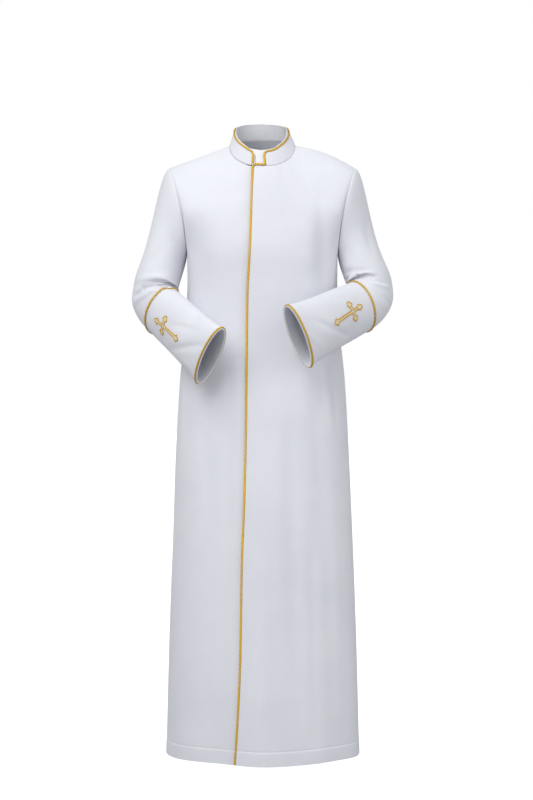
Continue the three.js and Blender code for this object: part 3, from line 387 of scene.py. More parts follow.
@dataclass(frozen=True)
class BodyForm:
    """The outside of the body of the garment, as sections, an armhole and a neckline."""

    sections: Table = Table(
        ("level", "half_width", "front", "back", "centre", "square"),
        (
            (-1485, 236, 224, 217, 1, 2.0),
            (-1410, 234, 219, 213, 1, 2.0),
            (-1250, 230, 206, 203, 1, 2.0),
            (-1095, 225, 192, 192, 1, 2.0),
            (-940, 219, 177, 180, 1, 2.0),
            (-780, 213, 160, 166, 0, 2.0),
            (-625, 205, 143, 149, 0, 2.05),
            (-556, 200, 134, 139, 0, 2.1),
            (-480, 192, 125, 129, 0, 2.1),
            (-400, 186, 122, 125, 0, 2.2),
            (-330, 183, 125, 129, 0, 2.45),
            (-272, 184, 129, 133, 0, 2.7),
            (-214, 183, 125, 129, 0, 2.45),
        ),
    )
    # angle, width, depth at the hem, the level where a fold starts, the level where it is full
    folds: tuple[tuple[float, ...], ...] = (
        (-58, 15, 5, -640, -1250),
        (-27, 12, -8, -560, -1150),
        (-3, 10, 6, -520, -1100),
        (22, 13, -7, -470, -1000),
        (46, 11, -4, -600, -1200),
        (66, 12, 6, -640, -1250),
        (112, 13, -8, -560, -1150),
        (136, 11, 7, -520, -1100),
        (163, 12, -8, -470, -1050),
        (186, 10, 7, -500, -1100),
        (213, 12, -8, -480, -1000),
        (241, 13, 7, -600, -1200),
    )
    lap_edge: Table = Table(
        ("level", "x"),
        (
            (-1485, -62),
            (-1360, -54.5),
            (-1240, -49.5),
            (-1000, -45.5),
            (-890, -41),
            (-700, -36.5),
            (-540, -35),
            (-370, -33),
            (-250, -27),
            (-100, -22.5),
            (0, -21),
        ),
    )
    neckline: Table = Table(
        ("angle", "z"),
        (
            (0, -59),
            (25, -55.5),
            (45, -45),
            (60, -34),
            (75, -19),
            (90, -3),
            (105, 7),
            (130, 14),
            (180, 18),
        ),
    )
    profiles: Table = Table(
        ("rise", "front", "back"),
        (
            (0, 0, 0),
            (0.1, 0.01, -0.004),
            (0.3, 0.1, -0.03),
            (0.55, 0.3, 0.08),
            (0.8, 0.64, 0.48),
            (1, 1, 1),
        ),
    )
    front_creases: Creases = Creases(
        (
            (46, -66, 92, -190, 9, -1.6),
            (30, -72, 52, -215, 8, 1.1),
            (86, -70, 152, -172, 10, -1.4),
            (64, -68, 118, -160, 8, 0.9),
            (-84, -66, -140, -150, 11, -0.8),
            (146, -140, 150, -350, 19, -7.0),
            (108, -170, 114, -380, 22, 2.2),
            (-152, -170, -154, -330, 15, -3.0),
            (150, -545, 168, -700, 8, 3.4),
            (166, -540, 180, -670, 6, -3.0),
            (138, -560, 146, -640, 7, -2.0),
            (122, -420, 140, -1000, 16, -2.6),
            (-140, -540, -132, -900, 16, -2.4),
            (-190, -560, -196, -760, 12, 2.0),
            (66, -700, 84, -1300, 18, -2.6),
            (34, -620, 44, -1200, 16, 1.8),
            (-96, -760, -108, -1380, 20, 2.0),
            (-74, -560, -82, -980, 13, -1.6),
            (118, -900, 128, -1440, 13, -2.8),
            (170, -760, 182, -1380, 14, 2.2),
            (4, -1120, -6, -1460, 14, 1.8),
        )
    )
    back_creases: Creases = Creases(
        (
            (-70, -60, -120, -170, 12, -1.6),
            (62, -64, 124, -180, 11, -1.8),
            (-142, -150, -150, -360, 18, -5.0),
            (140, -160, 152, -350, 17, -4.4),
            (-108, -180, -112, -390, 20, 1.8),
            (-46, -420, -60, -980, 20, -2.4),
            (58, -430, 48, -940, 18, -2.2),
            (4, -520, -6, -1400, 22, 2.0),
            (120, -620, 132, -1380, 16, -2.6),
            (-118, -640, -134, -1420, 18, -2.4),
            (-152, -540, -170, -700, 8, 2.6),
            (84, -760, 96, -1440, 15, 2.2),
            (-78, -840, -90, -1440, 14, 2.0),
        )
    )
    shoulder_tip: tuple[float, float, float] = (226, 5, -56)
    shoulder_arch: tuple[float, float] = (9.0, -1.0)
    armhole_middle: float = -164.0
    armhole_half_height: float = 108.0
    armhole_depth: tuple[float, float] = (84, 92)
    armhole_curve: tuple[float, float] = (1.7, 1.15)
    neck_half_width: float = 80.0
    neck_half_depth: float = 70.0
    neck_y: float = -5.0
    neck_side_angle: float = 92.0
    neck_share: float = 0.42
    hem_drop: float = 5.0
    hem_drop_angle: float = 12.0
    hem_drop_width: float = 32.0
    hem_drop_height: float = 500.0
    crease_turn: float = 35.0
    crease_section: tuple[float, float] = (200, 130)

    def skirt(self, angle: np.ndarray, level: np.ndarray) -> np.ndarray:
        """A point below the underarm: a rounded oval section, plus folds that grow towards the hem.

        Args:
            angle: 0 at the centre front, 90 at the wearer's left side, 180 at the back.
            level: height.
        Returns:
            Points on the outside.
        """
        power = 2 / self.sections.read(level, "square")
        front, back = self.sections.read(level, "front"), self.sections.read(level, "back")
        depth = np.where(cosine(angle) > 0, front, back)
        fold = sum(
            fold_depth * smoothstep(-level, -top, -full) * bell(turn_between(angle, at), width)
            for at, width, fold_depth, top, full in self.folds
        )
        drop = self.hem_drop * bell(turn_between(angle, self.hem_drop_angle), self.hem_drop_width)
        near_hem = smoothstep(HEM_LEVEL + self.hem_drop_height - level, 0, self.hem_drop_height)
        centre, half_width = self.sections.read(level, "centre"), self.sections.read(level, "half_width")
        x = centre + half_width * round_power(sine(angle), power) + fold * sine(angle)
        y = -depth * round_power(cosine(angle), power) - fold * cosine(angle)
        return stack(x, y, level - drop * near_hem)

    def armhole(self, angle: np.ndarray) -> np.ndarray:
        """The armhole's edge, 0 at the shoulder tip, 90 at the front, 180 at the underarm."""
        rise = (1 + cosine(angle)) / 2
        is_front = sine(angle) >= 0
        curve = np.where(is_front, *self.armhole_curve)
        depth = np.where(is_front, *self.armhole_depth)
        side_x = float(self.sections.read(UNDERARM_LEVEL, "half_width"))
        tip_x, tip_y, _ = self.shoulder_tip
        z = self.armhole_middle + self.armhole_half_height * cosine(angle)
        return stack(mix(side_x, tip_x, rise**curve), -depth * sine(angle) + tip_y * rise, z)

    def neck(self, angle: np.ndarray) -> np.ndarray:
        """The neckline's edge, an oval whose height follows its table."""
        x = self.neck_half_width * sine(angle)
        y = self.neck_y - self.neck_half_depth * cosine(angle)
        return stack(x, y, self.neckline.read(np.abs(turn_between(angle, 0)), "z"))

    def upper_edge(self, share: np.ndarray, is_back: np.ndarray, is_left: np.ndarray) -> np.ndarray:
        """Half a panel's upper edge: the neckline, then the shoulder seam, arched on the wearer's left."""
        start = np.where(is_back, 180.0, 0.0)
        neck = self.neck(mix(start, self.neck_side_angle, np.minimum(share / self.neck_share, 1)))
        along = np.clip((share - self.neck_share) / (1 - self.neck_share), 0, 1)
        seam = mix(self.neck(np.array(self.neck_side_angle)), np.array(self.shoulder_tip), along[..., None])
        seam[..., 2] += np.where(is_left, *self.shoulder_arch) * np.sin(np.pi * along)
        return np.where((share <= self.neck_share)[..., None], neck, seam)

    def chest(
        self, share: np.ndarray, rise: np.ndarray, is_back: np.ndarray, is_left: np.ndarray
    ) -> np.ndarray:
        """Half of the chest or back above the underarm, blended between its four edges.

        Rows run from the underarm's oval to the upper edge, columns from the middle's profile to the
        armhole, and the mix of the four corners is taken off once.

        Args:
            share: 0 in the middle, 1 at the armhole.
            rise: 0 at the underarm, 1 at the top.
            is_back: whether each point is on the back.
            is_left: whether each point is on the wearer's left.
        Returns:
            Points with x towards the wearer's left.
        """
        share, rise, is_back, is_left = np.broadcast_arrays(share, rise, is_back, is_left)
        blend = (1 - np.cos(np.pi * rise)) / 2
        start = np.where(is_back, 180.0, 0.0)
        level = np.full(share.shape, UNDERARM_LEVEL)
        lower = self.skirt(mix(start, 90.0, share), level)
        low, low_side = self.skirt(start, level), self.skirt(np.full(share.shape, 90.0), level)
        upper = self.upper_edge(share, is_back, is_left)
        high = self.upper_edge(np.zeros(share.shape), is_back, is_left)
        high_side = self.upper_edge(np.ones(share.shape), is_back, is_left)
        profile = np.where(is_back, self.profiles.read(blend, "back"), self.profiles.read(blend, "front"))
        middle = mix(low, high, np.stack([blend, profile, blend], axis=-1))
        armhole = self.armhole(np.where(is_back, 180 + 180 * rise, 180 - 180 * rise))
        soft = armhole.copy()
        full_depth = np.where(is_back, self.armhole_depth[1], -self.armhole_depth[0]) + self.shoulder_tip[1] / 2
        soft[..., 1] = np.where(blend < 0.5, full_depth * smoothstep(blend, 0, 0.5), armhole[..., 1])
        outward = (1 - np.cos(np.pi / 2 * share))[..., None]
        part = np.stack([blend**1.7, blend**1.7, blend], axis=-1)
        corner = np.stack([blend**3, blend**3, blend**2], axis=-1)
        straight = mix(high, high_side, share[..., None])
        rows = mix(lower, straight, part) + (upper - straight) * corner
        columns = mix(middle, soft, outward) + (armhole - soft) * (share**6)[..., None]
        corners = mix(mix(low, low_side, outward), mix(high, high_side, outward), part)
        return rows + columns - corners

    def plain(self, angle: np.ndarray, level: np.ndarray) -> np.ndarray:
        """A point of the whole outside before its creases, the skirt's below the underarm."""
        angle, level = np.broadcast_arrays(np.asarray(angle, float), np.asarray(level, float))
        turned = turn_between(angle, 0)
        away = np.abs(turned)
        is_back = away > 90
        rise = np.clip(1 - level / UNDERARM_LEVEL, 0, 1)
        above = self.chest(np.where(is_back, (180 - away) / 90, away / 90), rise, is_back, turned > 0)
        above[..., 0] *= np.where(turned < 0, -1, 1)
        below = self.skirt(angle, np.minimum(level, UNDERARM_LEVEL))
        return np.where((level <= UNDERARM_LEVEL)[..., None], below, above)

    def point(self, angle: np.ndarray, level: np.ndarray) -> np.ndarray:
        """A point of the outside with its creases, moved along the section's own outward direction."""
        base = self.plain(angle, level)
        x, y, z = base[..., 0], base[..., 1], base[..., 2]
        front = smoothstep(-y, 0, self.crease_turn) * self.front_creases.depth(x, z)
        back = smoothstep(y, 0, self.crease_turn) * self.back_creases.depth(x, z)
        wide, deep = self.crease_section
        out = unit(stack(x / wide**2, y / deep**2, 0 * z))
        return base + out * (front + back)[..., None]

    def edge_x(self, level: np.ndarray) -> np.ndarray:
        """The lap edge's x at a level, read at the height that the middle of the front has there."""
        rise = np.clip(1 - level / UNDERARM_LEVEL, 0, 1)
        top = float(self.neckline.read(np.array(0.0), "z"))
        height = np.where(rise > 0, mix(UNDERARM_LEVEL, top, (1 - np.cos(np.pi * rise)) / 2), level)
        return self.lap_edge.read(height, "x")

    def angle_at_x(self, x: np.ndarray, level: np.ndarray) -> np.ndarray:
        """The angle at which the front has a given x at a level, by halving an interval 30 times."""
        low, high = np.full(np.shape(level), -60.0), np.full(np.shape(level), 60.0)
        for _ in range(30):
            middle = (low + high) / 2
            is_less = self.plain(middle, level)[..., 0] < x
            low, high = np.where(is_less, middle, low), np.where(is_less, high, middle)
        return (low + high) / 2


# ---------------------------------------------------------------- finishes


class Tint(Enum):
    """Plain colours, as linear red, green and blue."""

    SUITING = (0.81, 0.818, 0.868)
    SUITING_SHADE = (0.77, 0.778, 0.836)
    INSERT = (0.86, 0.865, 0.90)
    GOLD = (0.80, 0.51, 0.05)
    # GOLD_SHADE is the painted shade between the strands of the gold thread
    GOLD_SHADE = (0.53, 0.29, 0.02)
    CREAM = (0.90, 0.75, 0.46)
    FLOOR = (0.45, 0.45, 0.46)


class Shader:
    """A material under construction, with short calls for the nodes it is made of."""

    def __init__(self, name: str) -> None:
        """Starts an empty material with a Principled shader."""
        self.material = bpy.data.materials.new(name)
        self.material.use_nodes = True
        self.tree = self.material.node_tree
        self.tree.nodes.clear()
        self.surface = self.tree.nodes.new("ShaderNodeBsdfPrincipled")
        output = self.tree.nodes.new("ShaderNodeOutputMaterial")
        self.tree.links.new(self.surface.outputs["BSDF"], output.inputs["Surface"])

    def node(self, kind: str, **settings: object) -> bpy.types.Node:
        """Adds a node and sets its properties."""
        made = self.tree.nodes.new("ShaderNode" + kind)
        for key, value in settings.items():
            setattr(made, key, value)
        return made

    def link(self, source: bpy.types.NodeSocket, target: bpy.types.NodeSocket) -> None:
        """Joins two sockets."""
        self.tree.links.new(source, target)

    def math(self, operation: str, *values: object) -> bpy.types.NodeSocket:
        """A Math node of numbers or sockets, and its result."""
        made = self.node("Math", operation=operation)
        for socket, value in zip(made.inputs, values):
            if isinstance(value, bpy.types.NodeSocket):
                self.link(value, socket)
            else:
                socket.default_value = value
        return made.outputs[0]

    def place_on_cloth(self) -> tuple[bpy.types.NodeSocket, bpy.types.NodeSocket]:
        """Distance along and up the cloth, in metres, from the piece's own UV map."""
        uv = self.node("UVMap", uv_map="cloth")
        parts = self.node("SeparateXYZ")
        self.link(uv.outputs["UV"], parts.inputs[0])
        return parts.outputs[0], parts.outputs[1]

    def noise(self, scale: float, detail: float) -> bpy.types.NodeSocket:
        """Noise in the object's own metres."""
        place = self.node("TexCoord")
        made = self.node("TexNoise")
        made.inputs["Scale"].default_value = scale
        made.inputs["Detail"].default_value = detail
        self.link(place.outputs["Object"], made.inputs["Vector"])
        return made.outputs["Fac"]

    def colour_between(
        self, share: bpy.types.NodeSocket, low: Tint, high: Tint, start: float, end: float
    ) -> None:
        """Colours the surface between two tints as a pattern goes from start to end."""
        ramp = self.node("ValToRGB")
        ramp.color_ramp.elements[0].position = start
        ramp.color_ramp.elements[1].position = end
        ramp.color_ramp.elements[0].color = (*low.value, 1)
        ramp.color_ramp.elements[1].color = (*high.value, 1)
        self.link(share, ramp.inputs[0])
        self.link(ramp.outputs["Color"], self.surface.inputs["Base Color"])

    def bump(self, height: bpy.types.NodeSocket, distance: float, strength: float) -> None:
        """Bumps the surface by a height pattern, on top of any bump that is already there."""
        made = self.node("Bump")
        made.inputs["Distance"].default_value = distance
        made.inputs["Strength"].default_value = strength
        normal = self.surface.inputs["Normal"]
        if normal.is_linked:
            self.link(normal.links[0].from_socket, made.inputs["Normal"])
        self.link(height, made.inputs["Height"])
        self.link(made.outputs["Normal"], normal)

    def set(self, **values: object) -> None:
        """Sets sockets of the Principled shader, with _ for a space in their names."""
        for name, value in values.items():
            self.surface.inputs[name.replace("_", " ")].default_value = value


@dataclass(frozen=True)
class WovenFinish:
    """Cloth woven of fine threads, with a twill line, a soft sheen and slow changes of tone."""

    name: str
    low: Tint
    high: Tint
    thread: float = 0.0008
    relief: float = 0.00012
    roughness: float = 0.82
    sheen: float = 0.22
    twill_share: float = 0.8
    weave_strength: float = 0.45
    tone_scale: float = 7.0
    ripple_scale: float = 38.0
    ripple_depth: float = 0.0014
    ripple_strength: float = 0.18
    tone_ramp: tuple[float, float] = (0.35, 0.62)
    sheen_roughness: float = 0.45
    specular: float = 0.25

    def material(self) -> bpy.types.Material:
        """Height is sin(warp) * sin(weft) + a twill line on the diagonal; tone follows slow noise."""
        made = Shader(self.name)
        along, upward = made.place_on_cloth()
        turns = 2 * math.pi / self.thread
        warp = made.math("SINE", made.math("MULTIPLY", along, turns))
        weft = made.math("SINE", made.math("MULTIPLY", upward, turns))
        diagonal = made.math("SINE", made.math("MULTIPLY", made.math("ADD", along, upward), turns * 0.5))
        twill = made.math("MULTIPLY", diagonal, self.twill_share)
        grain = made.math("ADD", made.math("MULTIPLY", warp, weft), twill)
        made.bump(made.noise(self.ripple_scale, 3.0), self.ripple_depth, self.ripple_strength)
        made.bump(grain, self.relief, self.weave_strength)
        made.colour_between(made.noise(self.tone_scale, 3.0), self.low, self.high, *self.tone_ramp)
        made.set(Roughness=self.roughness, Sheen_Weight=self.sheen)
        made.set(Sheen_Roughness=self.sheen_roughness, Specular_IOR_Level=self.specular)
        return made.material


@dataclass(frozen=True)
class MetalThreadFinish:
    """Gold thread wound round a core: fine slanting strands that shine, with painted shade darkening the colour
    between them.
    """

    name: str
    strand: float = 0.0007
    slant: float = 0.9
    roughness: float = 0.38
    metallic: float = 0.55
    painted_groove_shade: float = 0.28
    dirt_scale: float = 400.0
    tone_ramp: tuple[float, float] = (0.1, 0.6)
    relief: float = 0.00015

    def material(self) -> bpy.types.Material:
        """Height is sin(along / strand + slant * round / strand); the colour follows it from painted shade in
        the grooves between strands to bright gold on them.
        """
        made = Shader(self.name)
        along, around = made.place_on_cloth()
        slanted = made.math("ADD", along, made.math("MULTIPLY", around, self.slant))
        strands = made.math("SINE", made.math("MULTIPLY", slanted, 2 * math.pi / self.strand))
        # painted shade: the colour darkens in the grooves between the strands as their height falls, plus
        # random noise
        tone = made.math("MULTIPLY", strands, self.painted_groove_shade)
        tone = made.math("ADD", tone, made.noise(self.dirt_scale, 2.0))
        # the ramp runs from the painted shade between strands (GOLD_SHADE) to plain gold
        made.colour_between(tone, Tint.GOLD_SHADE, Tint.GOLD, *self.tone_ramp)
        made.bump(strands, self.relief, 0.5)
        made.set(Roughness=self.roughness, Metallic=self.metallic)
        return made.material


@dataclass(frozen=True)
class SatinStitchFinish:
    """Pale thread laid side by side, for the core of the embroidery."""

    name: str
    tint: Tint
    strand: float = 0.0009
    relief: float = 0.00015
    fibre_scale: float = 900.0
    fibre_relief: float = 0.0001

    def material(self) -> bpy.types.Material:
        """Height is sin(along / strand), with a fine noise in the thread."""
        made = Shader(self.name)
        along, _ = made.place_on_cloth()
        strands = made.math("SINE", made.math("MULTIPLY", along, 2 * math.pi / self.strand))
        made.bump(strands, self.relief, 0.6)
        made.bump(made.noise(self.fibre_scale, 2.0), self.fibre_relief, 0.3)
        made.set(Base_Color=(*self.tint.value, 1), Roughness=0.5, Sheen_Weight=0.2)
        return made.material


@dataclass(frozen=True)
class FloorFinish:
    """A plain pale floor that looks as bright as the air round it and lights the garment little."""

    glow: float = 0.95

    def material(self) -> bpy.types.Material:
        """A matt pale surface, lifted to white for direct looks only."""
        made = Shader("studio_floor")
        made.set(Base_Color=(*Tint.FLOOR.value, 1), Roughness=0.9, Emission_Color=(1, 1, 1, 1))
        direct = made.node("LightPath").outputs["Is Camera Ray"]
        made.link(made.math("MULTIPLY", direct, self.glow), made.surface.inputs["Emission Strength"])
        return made.material


@dataclass
class Wardrobe:
    """Every finish of the garment, made once."""

    suiting: bpy.types.Material = field(init=False)
    insert: bpy.types.Material = field(init=False)
    cord: bpy.types.Material = field(init=False)
    embroidery: bpy.types.Material = field(init=False)
    core: bpy.types.Material = field(init=False)

    def __post_init__(self) -> None:
        """Makes the materials."""
        self.suiting = WovenFinish("white_twill_suiting", Tint.SUITING_SHADE, Tint.SUITING).material()
        cotton = WovenFinish(
            "starched_cotton", Tint.INSERT, Tint.INSERT, thread=0.0005, relief=0.00006, roughness=0.6, sheen=0.1
        )
        self.insert = cotton.material()
        self.cord = MetalThreadFinish("twisted_gold_cord").material()
        self.embroidery = MetalThreadFinish("gold_embroidery_thread", strand=0.0005, slant=0.5).material()
        self.core = SatinStitchFinish("cream_satin_stitch", Tint.CREAM).material()


def dress(
    piece: bpy.types.Object, node: str | None, material: bpy.types.Material
) -> bpy.types.Object:
    """Gives a piece its material and its place in the record.

    Args:
        piece: the new object.
        node: the solid that it stands for, or None where it is only an extra detail.
        material: its finish.
    Returns:
        The same object.
    """
    piece.data.materials.append(material)
    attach(piece, "root")
    if node:
        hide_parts(node)
    faces = len(piece.data.polygons)
    LOG.info("%s: %d faces, finish %s", piece.name, faces, material.name)
    return piece


# ---------------------------------------------------------------- the three body panels


@dataclass
class BodyPanels:
    """Two fronts and a back, sewn at the sides and shoulders, with a turned-up hem."""

    form: BodyForm
    wardrobe: Wardrobe
    front_columns: int = 96
    back_columns: int = 150
    skirt_rows: int = 132
    chest_rows: int = 74
    underlap: float = 35.0
    lap_ramp: float = 26.0
    lap_sink: float = CLOTH + 1.2
    lap_corner: float = 8.0
    seam_dip: float = 0.9
    seam_width: float = 3.0
    neck_dip_share: float = 0.35
    hem_raise: float = 0.7
    ease_height: float = 50.0
    ease_passes: int = 80
    ease_from_middle: tuple[float, float] = (0.35, 0.6)
    ease_from_seam: tuple[float, float] = (0.94, 0.99)
    column_crowding: float = 0.85
    side_turn: float = 0.001
    corner_fade: float = 60.0
    hem_step: float = 1.2
    hem_stitch: tuple[float, float] = (0.8, 1.6)
    # rows close to the top of the hem, and how far from the hem and the underarm the skirt's rows stop
    hem_rows: tuple[float, ...] = (-2.5, -1.2, -0.4, 0.4, 1.5, 3, 6)
    skirt_margins: tuple[float, float] = (14, 8)
    side_bend: tuple[float, float] = (0.2, 0.6)
    sink_share: float = 0.8

    def levels(self) -> np.ndarray:
        """Levels of the rows: the hem, a fine step above it, the skirt, then the chest."""
        top = HEM_LEVEL + HEM_DEPTH
        hem = np.concatenate([[HEM_LEVEL, HEM_LEVEL + 1], np.linspace(HEM_LEVEL + 4, top - 5, 4)])
        step = top + np.array(self.hem_rows)
        low, high = self.skirt_margins
        skirt = np.linspace(top + low, UNDERARM_LEVEL - high, self.skirt_rows)
        chest = UNDERARM_LEVEL * (1 - np.linspace(0, 1, self.chest_rows))
        return np.concatenate([hem, step, skirt, chest])

    def shoulder_inward(self) -> np.ndarray:
        """Straight down from the shoulder seam's own slope, on the wearer's left."""
        neck, tip = self.form.neck(np.array(self.form.neck_side_angle)), self.form.shoulder_tip
        return unit(np.array([tip[2] - neck[2], 0.0, neck[0] - tip[0]]))

    def armhole_inward(self, angle: np.ndarray) -> np.ndarray:
        """Towards the middle of the armhole, on the wearer's left."""
        middle = (self.form.armhole(np.array(0.0)) + self.form.armhole(np.array(180.0))) / 2
        middle[1] = 0
        return unit(middle - self.form.armhole(angle))

    def _eased(self, grid: np.ndarray, share: np.ndarray, levels: np.ndarray) -> np.ndarray:
        """Evens out the rows round the underarm's level, where the chest and the skirt meet.

        Each pass moves a row half way to the mean of its neighbours, times a mask that is full beside
        the armhole and fades towards the middle, the side seam, the chest and the skirt.
        """
        near = bell(levels - UNDERARM_LEVEL, self.ease_height)
        mask = near * smoothstep(share, *self.ease_from_middle) * (1 - smoothstep(share, *self.ease_from_seam))
        for _ in range(self.ease_passes):
            mean = (grid[:-2] + grid[2:]) / 2
            grid[1:-1] += mask[1:-1, :, None] * (mean - grid[1:-1]) / 2
        return grid

    def panel(
        self, name: str, angles: np.ndarray, is_sunk: bool = False, is_lap: bool = False
    ) -> bpy.types.Object:
        """One panel from its angles at each level.

        Seams dip by seam_dip * exp(-distance / seam_width) towards each sewn edge, the hem stands
        hem_raise proud, and the right front sinks under the lap.

        Args:
            name: the object's name.
            angles: levels x columns angles.
            is_sunk: whether the panel runs under the lap.
            is_lap: whether its first column's top is rounded off.
        Returns:
            The new object.
        """
        levels = np.broadcast_to(self.levels()[:, None], angles.shape)
        turned = turn_between(angles, 0)
        side, away = np.sign(turned), np.abs(turned)
        share = np.where(away > 90, (180 - away) / 90, away / 90)
        grid = self._eased(self.form.point(angles, levels), share, levels)
        if is_lap:
            reach = np.linalg.norm(grid[-1] - grid[-1, :1], axis=-1)
            inside = np.maximum(self.lap_corner - reach, 0)
            drop = self.lap_corner - np.sqrt(self.lap_corner**2 - inside**2)
            top = grid[-1, 0, 2]
            fade = smoothstep(grid[..., 2], top - self.corner_fade, top)
            grid[..., 2] -= drop * fade
        inward = inward_directions(grid, False)
        at_side = np.abs(away - 90) < 0.5
        below = levels <= UNDERARM_LEVEL
        across = stack(-side, 0 * side, 0 * side)
        inward = np.where((at_side & below)[..., None], across, inward)
        rise = np.clip(1 - levels / UNDERARM_LEVEL, 0, 1)
        towards = self.armhole_inward(np.where(away > 90, 180 + 180 * rise, 180 - 180 * rise))
        towards[..., 0] *= side
        bend = (smoothstep(rise, *self.side_bend) * at_side)[..., None]
        inward = unit(mix(inward, towards, bend))
        on_shoulder = (levels == 0) & (share > self.form.neck_share - 0.01)
        shoulder = self.shoulder_inward() * stack(side, side * 0 + 1, side * 0 + 1)
        inward = np.where(on_shoulder[..., None], shoulder, inward)
        half_gap = np.where((at_side & below) | on_shoulder, SEAM_GAP / 2, 0.0)
        grid[..., 1] += np.where(away > 90, half_gap, -half_gap)

        side_point = self.form.point(np.where(side < 0, -90.0, 90.0), levels)
        from_side = np.linalg.norm(grid - side_point, axis=-1)
        from_top = np.linalg.norm(grid - grid[-1:], axis=-1)
        top_dip = np.where(share > self.form.neck_share, 1.0, self.neck_dip_share)
        at_top = top_dip * np.exp(-from_top / self.seam_width)
        sink = self.seam_dip * (np.exp(-from_side / self.seam_width) + at_top)
        hem_top = HEM_LEVEL + HEM_DEPTH
        sink = sink - self.hem_raise * smoothstep(-levels, -hem_top - self.hem_step, -hem_top + self.hem_step)
        stitch_depth, stitch_width = self.hem_stitch
        sink = sink + stitch_depth * bell(levels - hem_top, stitch_width)
        if is_sunk:
            reach = grid[..., 0] - self.form.edge_x(levels) + self.lap_ramp
            sink = sink + self.lap_sink * smoothstep(reach, 0, self.lap_ramp * self.sink_share)
        grid = grid + inward * sink[..., None]
        return cloth_wall(name, grid, inward, CLOTH, False)

    def build(self) -> dict[str, bpy.types.Object]:
        """Builds the three panels from the lap edge, the underlap's edge and the side seams.

        Returns:
            The panels by node name.
        """
        levels = self.levels()
        edge = self.form.edge_x(levels)
        start = self.form.angle_at_x(edge, levels)[:, None]
        under = self.form.angle_at_x(edge + self.underlap, levels)[:, None]
        shares = crowded(self.front_columns, self.column_crowding)[None, :]
        back_shares = crowded(self.back_columns, self.column_crowding)[None, :]
        turn = self.side_turn
        left = mix(start, 90 - turn, shares)
        right = mix(turn - 90, under, shares)
        back = mix(90 + turn, 270 - turn, back_shares) + 0 * start
        return {
            "front_left": self.panel("cloth_front_left", left, is_lap=True),
            "front_right": self.panel("cloth_front_right", right, is_sunk=True),
            "back": self.panel("cloth_back", back),
        }


# ---------------------------------------------------------------- sleeves


